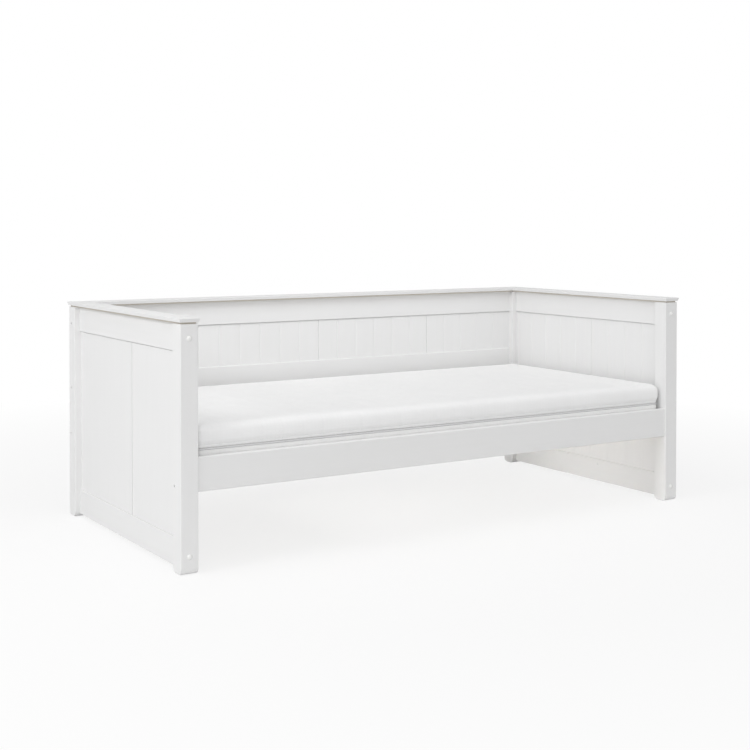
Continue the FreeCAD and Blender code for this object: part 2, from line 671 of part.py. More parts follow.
def end_frame_dowels():
    pins = []
    for y in (-Y_IN, Y_IN):
        for z in end_dowel_places():
            pins.append(dowel(-END_RAIL_X, y, z, Y_AXIS))
    return both_ends(pins)


def back_frame_dowels():
    return both_ends([dowel(-X_IN, BACK_Y, z, X_AXIS) for z in back_dowel_places()])


def bed_rail_dowels():
    pins = []
    for y in (-BED_RAIL_Y, BED_RAIL_Y):
        for z in bed_rail_dowel_places():
            pins.append(dowel(-X_IN, y, z, X_AXIS))
    return both_ends(pins)


def cap_dowels():
    """Upright dowels, deeper in the rail than in the cap."""
    low = POST_HEIGHT - DOWEL_LENGTH / 2 + CAP_DOWEL_PLAY
    high = POST_HEIGHT + CAP_HOLE - CAP_DOWEL_PLAY
    places = [(x, y) for x in (-END_RAIL_X, END_RAIL_X) for y in end_cap_dowels()]
    places += [(x, BACK_Y) for x in back_cap_dowels()]
    return [rod(x, y, low, Z_AXIS, DOWEL_R, high - low) for x, y in places]


def key_socket(x, y, z, axis, depth):
    """Six sided recess in a bolt's head, opening against the axis."""
    sideways = axis.cross(Z_AXIS)
    corner_radius = HEX / math.cos(math.radians(30))
    corners = []
    for k in range(6):
        turn = math.radians(60 * k)
        arm = Z_AXIS * math.cos(turn) + sideways * math.sin(turn)
        corners.append(FreeCAD.Vector(x, y, z) + arm * corner_radius)
    wire = Part.makePolygon(corners + corners[:1])
    return Part.Face(wire).extrude(axis * depth)


def bolt(x, y, z, axis, sink, head, head_radius, radius):
    """A bolt from the outer face of a post, through it, and past the nut in the rail."""
    seat = FreeCAD.Vector(x, y, z) + axis * sink
    top = seat - axis * head
    length = POST - sink + NUT_INSET + BOLT_PAST_NUT
    shape = Part.makeCylinder(head_radius, head, top, axis)
    shape = shape.fuse(Part.makeCylinder(radius, length, seat, axis))
    return shape.cut(key_socket(top.x, top.y, top.z, axis, head * SOCKET_SHARE))


def barrel_nut(x, y, z, along, bolt_axis, radius):
    """A barrel nut centred on the bolt, with a bore for it."""
    start = FreeCAD.Vector(x, y, z) - along * (NUT_LENGTH / 2)
    nut = Part.makeCylinder(NUT_R, NUT_LENGTH, start, along)
    reach = NUT_R + 1
    entry = FreeCAD.Vector(x, y, z) - bolt_axis * reach
    bore = Part.makeCylinder(radius + FIT, 2 * reach, entry, bolt_axis)
    return nut.cut(bore)


def end_frame_bolts():
    bolts = []
    for z in end_bolt_heights():
        bolts.append(bolt(-END_RAIL_X, -Y_OUT, z, Y_AXIS, M6_SINK, M6_HEAD, M6_HEAD_R, M6_R))
        bolts.append(bolt(-END_RAIL_X, Y_OUT, z, Y_AXIS * -1, M6_SINK, M6_HEAD, M6_HEAD_R, M6_R))
    return both_ends(bolts)


def end_frame_barrel_nuts():
    nuts = []
    for z in end_bolt_heights():
        for y in (-Y_IN + NUT_INSET, Y_IN - NUT_INSET):
            nuts.append(barrel_nut(-END_RAIL_X, y, z, Z_AXIS, Y_AXIS, M6_R))
    return both_ends(nuts)


def bolt_covers():
    """Domed covers over the bolt heads on the front and rear faces of the posts."""
    covers = []
    radius = (COVER_R ** 2 + COVER_HEIGHT ** 2) / (2 * COVER_HEIGHT)
    for z in end_bolt_heights():
        centre = FreeCAD.Vector(-END_RAIL_X, -Y_OUT + radius - COVER_HEIGHT, z)
        ball = Part.makeSphere(radius, centre)
        reach = 2 * COVER_R
        dome = ball.common(box(-END_RAIL_X - reach, -END_RAIL_X + reach, -Y_OUT - COVER_HEIGHT - 1, -Y_OUT,
                               z - reach, z + reach))
        covers += [dome, mirror_y(dome)]
    return both_ends(covers)


def side_bolts(back):
    """Bolts through the sides of the posts: into the back's rails, or into the bed frame."""
    chosen = cross_bolts()[:2] if back else cross_bolts()[2:]
    return both_ends([bolt(-X_OUT, y, z, X_AXIS, M5_SINK, M5_HEAD, M5_HEAD_R, M5_R) for y, z in chosen])


def back_frame_barrel_nuts():
    x = -X_IN + NUT_INSET
    return both_ends([barrel_nut(x, BACK_Y, z, Y_AXIS, X_AXIS, M5_R) for z in back_bolt_heights()])


def bed_frame_barrel_nuts():
    x = -X_IN + NUT_INSET
    rear = barrel_nut(x, BED_RAIL_Y, BED_RAIL_BOTTOM + BED_RAIL_HEIGHT / 2, Y_AXIS, X_AXIS, M5_R)
    front = barrel_nut(x, -LEDGER_Y, ledger_middle(), Z_AXIS, X_AXIS, M5_R)
    return both_ends([rear, front])


def screw(x, y, z, axis, length):
    """A wood screw whose flat head is flush with (x, y, z)."""
    top = FreeCAD.Vector(x, y, z)
    head = Part.makeCone(SCREW_HEAD_R, SCREW_R, SCREW_HEAD, top, axis)
    tip_start = length - SCREW_SHORT - SCREW_TIP
    shaft = Part.makeCylinder(SCREW_R, tip_start - SCREW_HEAD, top + axis * SCREW_HEAD, axis)
    tip = Part.makeCone(SCREW_R, SCREW_TIP_R, SCREW_TIP, top + axis * tip_start, axis)
    return head.fuse([shaft, tip])


def ledger_screws():
    screws = []
    for side in (-1, 1):
        inner = side * (LEDGER_Y - LEDGER_WIDTH / 2)
        for x in ledger_screw_places():
            screws.append(screw(x, inner, ledger_middle(), Y_AXIS * side, SCREW_LENGTH))
    return screws


def slat_screws():
    screws = []
    for x in (slat_places()[0], slat_places()[-1]):
        for y in (-LEDGER_Y, LEDGER_Y):
            screws.append(screw(x, y, SLAT_TOP - SCREW_DROP, Z_AXIS * -1, SLAT_SCREW_LENGTH))
    return screws


os.makedirs("parts", exist_ok=True)

end_pieces = {
    "front_post": left_front_post(),
    "rear_post": left_rear_post(),
    "bottom_rail": left_bottom_rail(),
    "top_rail": left_top_rail(),
    "cap": left_cap(),
}
end_pieces["front_panel"], end_pieces["rear_panel"] = left_panels()
for name, shape in end_pieces.items():
    write("left_" + name, shape)
    write("right_" + name, mirror_x(shape))

write("back_bottom_rail", back_bottom_rail())
write("back_top_rail", back_top_rail())
for number, shape in enumerate(back_panels(), start=1):
    write("back_panel_" + str(number), shape)
write("back_cap", back_cap())

write("front_bed_rail", bed_rail(-1))
write("rear_bed_rail", bed_rail(1))
write("front_ledger", ledger(-1))
write("rear_ledger", ledger(1))
write("slats", slats())
write("slat_tapes", slat_tapes())

core, lower, upper, band = mattress_pieces()
write("mattress_core", core)
write("mattress_lower_cover", lower)
write("mattress_upper_cover", upper)
write("mattress_zip", band)
write("zip_slider", zip_slider())

write("end_frame_dowels", end_frame_dowels())
write("back_frame_dowels", back_frame_dowels())
write("bed_rail_dowels", bed_rail_dowels())
write("cap_dowels", cap_dowels())
write("end_frame_bolts", end_frame_bolts())
write("end_frame_barrel_nuts", end_frame_barrel_nuts())
write("bolt_covers", bolt_covers())
write("back_frame_bolts", side_bolts(True))
write("back_frame_barrel_nuts", back_frame_barrel_nuts())
write("bed_frame_bolts", side_bolts(False))
write("bed_frame_barrel_nuts", bed_frame_barrel_nuts())
write("ledger_screws", ledger_screws())
write("slat_screws", slat_screws())
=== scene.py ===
# %% [markdown]
# # A white panelled daybed
# The daybed stands on four square posts. Each end is a frame with two panels in it, the back is a
# long frame of the same kind, and cap boards run over all three. A mattress in a quilted cover lies
# on slats between them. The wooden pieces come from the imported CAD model, at their real size and
# place. This lesson gives them their finishes, and makes the soft pieces again as cloth and foam.

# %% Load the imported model
import math
import bpy
import bmesh
import numpy as np
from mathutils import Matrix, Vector, noise


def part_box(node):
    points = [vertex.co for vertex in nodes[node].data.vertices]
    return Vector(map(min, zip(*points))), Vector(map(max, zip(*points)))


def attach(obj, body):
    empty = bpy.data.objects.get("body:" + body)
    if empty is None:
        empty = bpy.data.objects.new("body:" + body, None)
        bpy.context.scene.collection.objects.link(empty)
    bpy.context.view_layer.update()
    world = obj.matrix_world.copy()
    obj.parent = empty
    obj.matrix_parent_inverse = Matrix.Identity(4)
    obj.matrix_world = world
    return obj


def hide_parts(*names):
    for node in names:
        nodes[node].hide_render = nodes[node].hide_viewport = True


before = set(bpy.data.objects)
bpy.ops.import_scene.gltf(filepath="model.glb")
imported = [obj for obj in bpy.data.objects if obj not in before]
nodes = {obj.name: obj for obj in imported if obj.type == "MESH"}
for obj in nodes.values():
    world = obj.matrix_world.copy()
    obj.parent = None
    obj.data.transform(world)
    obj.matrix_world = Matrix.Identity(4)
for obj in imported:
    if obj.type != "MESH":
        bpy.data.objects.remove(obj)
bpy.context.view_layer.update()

# %% [markdown]
# ## Camera
# The view is that of someone standing in front of the left end. The lens is moderately long, so the
# far end is only a little smaller than the near one. The camera is almost level, which keeps the
# posts upright in the picture, and the lens is shifted down to bring the daybed into the frame.
# Tilting the camera instead would make the posts lean.

# %% Camera
CAMERA_PLACE = (-2.7154, -4.1866, 1.0980)
CAMERA_TURN = 0.5506    # from +Y towards +X, in radians
CAMERA_TILT = -0.0168   # below the horizon
CAMERA_LENS = 62.34     # millimetres, on a sensor 36 mm wide
CAMERA_SHIFT = (0.0352, -0.1749)


def new_object(name, data):
    """An object in the scene, at the origin, that shows a mesh, a lamp or a camera."""
    made = bpy.data.objects.new(name, data)
    bpy.context.scene.collection.objects.link(made)
    return made


camera_data = bpy.data.cameras.new("camera")
camera_data.lens = CAMERA_LENS
camera_data.shift_x, camera_data.shift_y = CAMERA_SHIFT
camera = new_object("camera", camera_data)
camera.location = CAMERA_PLACE
camera.rotation_euler = (math.radians(90) + CAMERA_TILT, 0, -CAMERA_TURN)
bpy.context.scene.camera = camera
bpy.context.scene.view_settings.view_transform = "Standard"
print("camera", round(camera.location.length, 2), "m from the origin")

# %% [markdown]
# ## Small helpers for shader trees
# A material in Blender is a tree of nodes. Adding each node takes several calls, so one helper adds
# a node, sets its values and joins its inputs to other nodes' outputs.

# %% Shader helpers
def add(tree, kind, inputs=(), **settings):
    """Adds a node. inputs maps a socket's name or number to a value, another socket or a node."""
    made = tree.nodes.new(kind)
    for key, value in settings.items():
        setattr(made, key, value)
    for key, value in dict(inputs).items():
        value = value.outputs[0] if isinstance(value, bpy.types.Node) else value
        if isinstance(value, bpy.types.NodeSocket):
            tree.links.new(value, made.inputs[key])
        else:
            made.inputs[key].default_value = value
    return made


def new_finish(name):
    """A material with one Principled shader, as (material, tree, shader)."""
    made = bpy.data.materials.new(name)
    made.use_nodes = True
    return made, made.node_tree, made.node_tree.nodes["Principled BSDF"]


def lead(value, shader, name):
    """Joins a value to one of the shader's inputs."""
    shader.id_data.links.new(value, shader.inputs[name])


def place_on(tree, scale=(1, 1, 1), source="Object"):
    """Coordinates in metres times scale, from the object's own space or its UV map."""
    coordinates = add(tree, "ShaderNodeTexCoord")
    mapping = add(tree, "ShaderNodeMapping", {"Vector": coordinates.outputs[source], "Scale": scale})
    return mapping.outputs["Vector"]


def calculate(tree, operation, *values):
    """The result of one step of arithmetic."""
    return add(tree, "ShaderNodeMath", dict(enumerate(values)), operation=operation).outputs[0]


print("helpers ready")

# %% [markdown]
# Nearly every finish here is mixed in the same way. A noise wanders over the surface and changes
# three things a little: the colour, the roughness, and a relief too fine to model. Few surfaces are
# even in all three, so this is what makes one look real.

# %% Colour, roughness and relief
NOISE_RANGE = (0.3, 0.7)    # nearly all values of a noise lie between these


def noise_on(tree, scale, detail, place=None, roughness=0.5):
    """A noise on the piece's own place, or on another."""
    return add(tree, "ShaderNodeTexNoise", {
        "Vector": place or place_on(tree), "Scale": scale, "Detail": detail,
        "Roughness": roughness}).outputs["Fac"]


def blend_colours(tree, share, first, second):
    """A colour between two others, by a share from 0 to 1. Each is a colour or a socket."""
    ends = {key: end if isinstance(end, bpy.types.NodeSocket) else (*end, 1)
            for key, end in (("A", first), ("B", second))}
    return add(tree, "ShaderNodeMix", {"Factor": share, **ends}, data_type="RGBA").outputs["Result"]


def spread(tree, value, low, high, new_low, new_high):
    """Turns a value's range low to high into new_low to new_high."""
    return add(tree, "ShaderNodeMapRange", {
        "Value": value, "From Min": low, "From Max": high, "To Min": new_low,
        "To Max": new_high}).outputs["Result"]


def vary_roughness(tree, shader, value, low, high):
    """Lets the roughness wander between two values with a noise."""
    lead(spread(tree, value, *NOISE_RANGE, low, high), shader, "Roughness")


def bump(tree, shader, height, depth, strength=1.0):
    """Bends the shader's normal by a height from 0 to 1 that stands for depth metres."""
    made = add(tree, "ShaderNodeBump", {"Height": height, "Distance": depth, "Strength": strength})
    lead(made.outputs["Normal"], shader, "Normal")


print("finishes vary with noise values from", *NOISE_RANGE)

# %% [markdown]
# ## White lacquer
# The wooden frame is sprayed with satin white lacquer. Close up, such paint isn't flat: the grain of
# the wood shows through it as faint long streaks, and the spray leaves a very fine texture called
# orange peel. A noise stretched along the board makes the streaks. They have to run along each
# board, so the finish is made three times, once for each direction.

# %% White lacquer
LACQUER_LIGHT = (0.845, 0.845, 0.845)
LACQUER_SHADE = (0.830, 0.830, 0.828)
LACQUER_MIRROR = 0.2    # a glossy paint would have 0.5
LACQUER_RELIEF = 0.0001
GRAIN_ALONG = 2.5       # streaks per metre along the board
GRAIN_ACROSS = 70.0     # and across it
PEEL_SCALE = 420.0      # dimples of orange peel per metre


def lacquer(axis):
    made, tree, shader = new_finish("white_lacquer_" + axis)
    scale = [GRAIN_ALONG if axis == one else GRAIN_ACROSS for one in "xyz"]
    streaks = noise_on(tree, 1.0, 6.0, place_on(tree, scale), 0.62)
    clouds = noise_on(tree, 3.0, 3.0)
    peel = noise_on(tree, PEEL_SCALE, 1.0)
    share = calculate(tree, "ADD", spread(tree, streaks, 0.35, 0.7, 0, 0.6),
                      spread(tree, clouds, 0.35, 0.7, 0, 0.4))
    lead(blend_colours(tree, share, LACQUER_LIGHT, LACQUER_SHADE), shader, "Base Color")
    vary_roughness(tree, shader, clouds, 0.50, 0.60)
    shader.inputs["Specular IOR Level"].default_value = LACQUER_MIRROR
    bump(tree, shader, calculate(tree, "MULTIPLY_ADD", streaks, 0.6, peel), LACQUER_RELIEF, 0.2)
    return made


lacquers = {axis: lacquer(axis) for axis in "xyz"}
print("lacquers:", sorted(made.name for made in lacquers.values()))

# %% [markdown]
# ## Lacquer on the caps
# A shallow rebate runs round under the edge of each cap. This is the same lacquer with one step more:
# below the top of the rebate the colour is a darker brownish grey. Its brownish tint stands for the
# bare board, which the spray hardly reaches, and its darkness is painted shade under the cap. Every
# piece has its origin on the floor, so its own Object coordinates give the height.

# %% Lacquer on the caps
# brownish tint of bare board, darkened as painted shade under the cap
BARE_EDGE_AND_SHADE = (0.61, 0.57, 0.51)
REBATE_TOP = 0.787      # metres above the floor
REBATE_BLEND = 0.0008   # the height over which the lacquer begins


def lacquer_over_bare_edge_and_shade(axis):
    made = lacquer(axis)
    made.name = "cap_" + made.name
    tree = made.node_tree
    shader = tree.nodes["Principled BSDF"]
    coat = shader.inputs["Base Color"].links[0].from_socket
    height = add(tree, "ShaderNodeSeparateXYZ", {"Vector": place_on(tree)}).outputs["Z"]
    # below the rebate's top: bare board's tint with painted shade
    painted = spread(tree, height, REBATE_TOP, REBATE_TOP + REBATE_BLEND, 0, 1)
    lead(blend_colours(tree, painted, BARE_EDGE_AND_SHADE, coat), shader, "Base Color")
    return made


cap_lacquers = {axis: lacquer_over_bare_edge_and_shade(axis) for axis in "xy"}
print("for the caps:", sorted(made.name for made in cap_lacquers.values()))

# %% [markdown]
# ## Pine and beech
# The ledgers and slats carry the mattress out of sight, so they are bare pine. Pine shows growth
# rings as bands that run along the board, wavering a little, with a knot here and there. A wave
# texture that a noise bends gives the bands, and a Voronoi texture with far apart cells gives knots.
# The dowels are beech, a pale wood with short dark flecks.

# %% Pine and beech
PINE_PALE = (0.78, 0.70, 0.58)
PINE_RING = (0.68, 0.57, 0.43)
KNOT = (0.23, 0.11, 0.05)
BEECH_PALE = (0.66, 0.48, 0.33)
BEECH_FLECK = (0.50, 0.33, 0.20)
RING_SCALE = 34.0
RING_STRETCH = 0.12     # the rings change this much more slowly along the board
RING_WAVER = 0.05       # metres
KNOT_SPACING = 2.6      # cells per metre along a board


def pine(axis):
    made, tree, shader = new_finish("bare_pine_" + axis)
    place = place_on(tree, [RING_STRETCH if axis == one else 1.0 for one in "xyz"])
    wander = add(tree, "ShaderNodeTexNoise", {"Vector": place, "Scale": 9.0, "Detail": 4.0})
    bent = add(tree, "ShaderNodeVectorMath", {
        0: wander.outputs["Color"], 1: (RING_WAVER,) * 3, 2: place}, operation="MULTIPLY_ADD")
    rings = add(tree, "ShaderNodeTexWave", {
        "Vector": bent, "Scale": RING_SCALE, "Distortion": 2.5, "Detail": 2.0},
        bands_direction="X" if axis == "y" else "Y").outputs["Fac"]
    wood = blend_colours(tree, spread(tree, rings, 0.3, 1.0, 0.0, 0.9), PINE_PALE, PINE_RING)
    knot_scale = [KNOT_SPACING if axis == one else 3 * KNOT_SPACING for one in "xyz"]
    knots = add(tree, "ShaderNodeTexVoronoi", {"Vector": place_on(tree, knot_scale), "Scale": 1.0})
    in_knot = spread(tree, knots.outputs["Distance"], 0.03, 0.09, 1.0, 0.0)
    lead(blend_colours(tree, in_knot, wood, KNOT), shader, "Base Color")
    vary_roughness(tree, shader, wander.outputs["Fac"], 0.55, 0.75)
    bump(tree, shader, rings, 0.0003, 0.5)
    return made


def beech():
    made, tree, shader = new_finish("beech")
    flecks = noise_on(tree, 900.0, 3.0)
    lead(blend_colours(tree, spread(tree, flecks, 0.45, 0.7, 0, 1), BEECH_PALE, BEECH_FLECK), shader,
         "Base Color")
    shader.inputs["Roughness"].default_value = 0.6
    bump(tree, shader, flecks, 0.0002)
    return made


pines = {axis: pine(axis) for axis in "xy"}
beech_finish = beech()
print("woods:", [made.name for made in pines.values()], beech_finish.name)

# %% [markdown]
# ## Zinc plated steel and white plastic
# The bolts, nuts and screws are steel with a thin coat of zinc, which is dull and slightly patchy.
# The domed covers over the bolt heads are moulded plastic: smoother and glossier than the lacquer
# round them, so each catches a small highlight. Both are a noise with two colours, so one function
# makes them.

# %% Steel and plastic
ZINC_BRIGHT = (0.62, 0.63, 0.64)
ZINC_DULL = (0.44, 0.45, 0.46)
PLASTIC_WHITE = (0.87, 0.87, 0.86)
PLASTIC_SHADE = (0.84, 0.84, 0.83)


def patchy(name, first, second, scale, detail, roughness, depth, metallic=0.0):
    """A finish whose colour, roughness and relief follow one noise."""
    made, tree, shader = new_finish(name)
    patches = noise_on(tree, scale, detail)
    lead(blend_colours(tree, patches, first, second), shader, "Base Color")
    vary_roughness(tree, shader, patches, *roughness)
    shader.inputs["Metallic"].default_value = metallic
    bump(tree, shader, patches, depth)
    return made


steel_finish = patchy("zinc_steel", ZINC_DULL, ZINC_BRIGHT, 260.0, 5.0, (0.45, 0.28), 0.00005, 1.0)
plastic_finish = patchy("white_plastic", PLASTIC_SHADE, PLASTIC_WHITE, 300.0, 2.0, (0.18, 0.24),
                        0.00002)
print("made:", steel_finish.name, plastic_finish.name)

# %% [markdown]
# ## Finishes on the CAD pieces
# A node's mesh stays as the CAD made it. Only the material in its slots changes. The lacquered
# pieces are sorted by the way their grain runs: upright in the posts and panels, lengthways in the
# rails and cap of the back and the bed rails, and from front to back in the ends' rails and caps.

# %% Finishes on the CAD pieces
FINISHES = [            # finish, and how the names of its pieces end
    (lacquers["z"], ("_post", "_panel", "panel_1", "panel_2", "panel_3", "panel_4")),
    (lacquers["x"], ("back_bottom_rail", "back_top_rail", "_bed_rail")),
    (lacquers["y"], ("left_bottom_rail", "left_top_rail", "right_bottom_rail", "right_top_rail")),
    (cap_lacquers["x"], ("back_cap",)),
    (cap_lacquers["y"], ("left_cap", "right_cap")),
    (pines["x"], ("_ledger",)),
    (pines["y"], ("slats",)),
    (beech_finish, ("_dowels",)),
    (steel_finish, ("_bolts", "_nuts", "_screws", "zip_slider")),
    (plastic_finish, ("bolt_covers",)),
]


def give(piece, finish):
    """Puts one finish in all the material slots of a piece."""
    if not piece.material_slots:
        piece.data.materials.append(finish)
    for one in piece.material_slots:
        one.material = finish


finished = 0
for finish, endings in FINISHES:
    for name in [name for name in nodes if name.endswith(endings)]:
        give(nodes[name], finish)
        finished += 1
print("finished nodes:", finished)

# %% [markdown]
# ## Knitted cover
# The mattress cover is a soft white knit, quilted onto wadding. The quilting is real shape and comes
# later. The yarn is too fine to model, so the finish has it as fluff, with rows of faint raised spots
# about a centimetre apart. Two crossing waves make the spots on the piece's own UV map, which is laid
# out in metres and follows the surface round its edges. The colour is a little darker between the
# spots: painted shade in the hollows. A little sheen stands for the loose fibres.

# %% Knitted cover
KNIT_WHITE = (0.940, 0.940, 0.940)
KNIT_SHADE = (0.905, 0.905, 0.907)
UNDERSIDE_WHITE = (0.945, 0.945, 0.940)
UNDERSIDE_SHADE = (0.900, 0.900, 0.895)
SPOTS_ACROSS = 21.0     # a wave of scale 1 has 20 / (2 pi) bands in a metre
SPOTS_ALONG = 30.0


def knit(name, light, shade, depth):
    made, tree, shader = new_finish(name)
    place = place_on(tree, source="UV")
    across, along = [add(tree, "ShaderNodeTexWave", {
        "Vector": place, "Scale": scale, "Distortion": 0.6, "Detail": 1.0},
        bands_direction=way, wave_profile="SIN").outputs["Fac"]
        for way, scale in (("X", SPOTS_ACROSS), ("Y", SPOTS_ALONG))]
    spots = calculate(tree, "MULTIPLY", across, along)
    fluff = noise_on(tree, 160.0, 6.0, roughness=0.7)
    clouds = noise_on(tree, 7.0, 4.0)
    # random clouds of tone, plus painted shade in the hollows between the spots
    share = calculate(tree, "ADD", spread(tree, clouds, *NOISE_RANGE, 0, 0.5),
                      spread(tree, spots, 0, 1, 0.4, 0))
    lead(blend_colours(tree, share, light, shade), shader, "Base Color")
    vary_roughness(tree, shader, fluff, 0.82, 0.95)
    shader.inputs["Specular IOR Level"].default_value = 0.25
    shader.inputs["Sheen Weight"].default_value = 0.15
    shader.inputs["Sheen Roughness"].default_value = 0.5
    bump(tree, shader, calculate(tree, "MULTIPLY_ADD", fluff, 0.6, spots), depth, 0.6)
    return made


knit_finish = knit("quilted_knit", KNIT_WHITE, KNIT_SHADE, 0.0004)
underside_finish = knit("cover_underside", UNDERSIDE_WHITE, UNDERSIDE_SHADE, 0.0003)
print("made:", knit_finish.name, underside_finish.name)

# %% [markdown]
# ## Foam, tape and thread
# The core is cut foam, whose skin is a sponge of tiny open cells: a Voronoi texture gives their
# relief, and the colour grows darker towards each cell's middle, which is painted shade in the pores.
# The tapes under the slats and of the zip are woven, so narrow bands cross them, and much finer bands
# stand for the twist of the thread. Where the threads dip the colour is darker: painted shade.

# %% Foam, tape and thread
FOAM_CREAM = (0.78, 0.72, 0.58)
# painted shade in the pores
FOAM_PORE_SHADE = (0.60, 0.53, 0.38)
TAPE_WHITE = (0.78, 0.78, 0.77)
TAPE_SHADE = (0.60, 0.60, 0.60)
ZIP_WHITE = (0.90, 0.90, 0.90)
ZIP_SHADE = (0.80, 0.80, 0.81)
THREAD_WHITE = (0.88, 0.88, 0.88)
THREAD_SHADE = (0.74, 0.74, 0.75)
WARP_TO_WEFT = 1.6      # how much finer the threads along a tape are than those across it


def foam():
    made, tree, shader = new_finish("foam")
    cells = add(tree, "ShaderNodeTexVoronoi", {"Vector": place_on(tree), "Scale": 700.0})
    # 1 in each cell's middle: painted shade in the pores
    pore_shade = spread(tree, cells.outputs["Distance"], 0.1, 0.6, 1, 0)
    lead(blend_colours(tree, pore_shade, FOAM_CREAM, FOAM_PORE_SHADE), shader, "Base Color")
    shader.inputs["Roughness"].default_value = 0.95
    bump(tree, shader, cells.outputs["Distance"], 0.0008)
    return made


def woven(name, light, shade, threads, along):
    """Webbing whose threads cross it. along is the axis that the tape runs in."""
    made, tree, shader = new_finish(name)
    place = place_on(tree)
    weft, warp = [add(tree, "ShaderNodeTexWave", {"Vector": place, "Scale": scale},
                      bands_direction=way).outputs["Fac"]
                  for way, scale in ((along, threads),
                                     ("Y" if along == "X" else "X", threads * WARP_TO_WEFT))]
    # the colour follows the relief: darker where the threads dip, painted shade between them
    weave_and_shade = calculate(tree, "MULTIPLY", weft, warp)
    lead(blend_colours(tree, weave_and_shade, shade, light), shader, "Base Color")
    vary_roughness(tree, shader, noise_on(tree, 300.0, 4.0, place), 0.7, 0.9)
    bump(tree, shader, weave_and_shade, 0.0004)
    return made


foam_finish = foam()
tape_finish = woven("woven_tape", TAPE_WHITE, TAPE_SHADE, 60.0, "X")
zip_finish = woven("zip_tape", ZIP_WHITE, ZIP_SHADE, 90.0, "Z")
thread_finish = woven("thread", THREAD_WHITE, THREAD_SHADE, 250.0, "X")
print("made:", foam_finish.name, tape_finish.name, zip_finish.name, thread_finish.name)

# %% [markdown]
# ## The shape of a pad
# Both halves of the mattress cover, and the foam in them, are slabs with rounded edges. Such a slab
# could be a box with a Bevel modifier, but the quilting needs seams that lie exactly on edges of the
# mesh. So the slab is a grid made in code: its columns and rows are the quilted cells, each divided a
# few times. Every point of a plain box is then pulled onto the rounded shape, first round the corners
# and then over the upper edge. Foam fills a corner out, so seen from above it is nearly square.

# %% Sizes of the mattress, and how a point is rounded
upper_low, upper_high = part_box("mattress_upper_cover")
lower_low, lower_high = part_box("mattress_lower_cover")
zip_low, zip_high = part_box("mattress_zip")
core_low, core_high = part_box("mattress_core")
MIDDLE_Y = (upper_low.y + upper_high.y) / 2
HALF_SIZE = ((upper_high.x - upper_low.x) / 2, (upper_high.y - upper_low.y) / 2)
CELLS = (26, 12)        # quilted cells along and across the mattress
CORNER_POWER = 5.0      # 2 would make a corner round, and more fills it out


def clamp(value, limit):
    return max(-limit, min(limit, value))


def fullness(way):
    """How many times further out a full corner reaches than a round one, in a direction."""
    return (abs(way.x) ** CORNER_POWER + abs(way.y) ** CORNER_POWER) ** (-1 / CORNER_POWER)


def rounded(x, y, z, half, corner, edge):
    """The rounded place of a point of a box with its top at z 0, and the way out from there."""
    core = Vector((clamp(x, half[0] - corner), clamp(y, half[1] - corner)))
    out = Vector((x, y)) - core
    share = max(abs(out.x), abs(out.y)) / corner
    if share < 1e-9:
        return Vector((x, y, z)), Vector((0, 0))
    inset = corner * (1 - share)
    if inset < edge and z > -edge:
        arm = Vector((edge - inset, z + edge)).normalized() * edge
        inset, z = edge - arm.x, arm.y - edge
    way = out.normalized()
    flat = core + way * (corner - inset) * fullness(way)
    return Vector((flat.x, flat.y, z)), way


print("mattress:", [round(2 * v, 3) for v in HALF_SIZE], "m, middle at y", round(MIDDLE_Y, 3))

# %% [markdown]
# The sides come from a short list: how far below the top each level is, and how far it is drawn in.
# The last level is the open rim, sewn to the zip. Two values are stored with each point for later:
# how far it is from the nearest seam, and whether the sewing holds it when the cloth is blown up.
# The UV map is laid out in metres, down over the sides.

# %% The top and sides of a pad
def piece_from(work, name):
    """Turns a finished bmesh into a piece in the scene."""
    mesh = bpy.data.meshes.new(name)
    work.to_mesh(mesh)
    work.free()
    return new_object(name, mesh)


def ring_of(columns, rows):
    """The outermost spots of a grid, in order, as (column, row)."""
    ring = [(column, 0) for column in range(columns)]
    ring += [(columns, row) for row in range(rows)]
    ring += [(column, rows) for column in range(columns, 0, -1)]
    ring += [(0, row) for row in range(rows, 0, -1)]
    return ring


def seam_distance(spot, sizes, divisions, use):
    """From a spot of the grid to the nearest seam, counting only the directions in use."""
    ways = [1.0]
    for index, size, counts in zip(spot, sizes, use):
        step = index % divisions
        if counts:
            ways.append(min(step, divisions - step) * size)
    return min(ways)


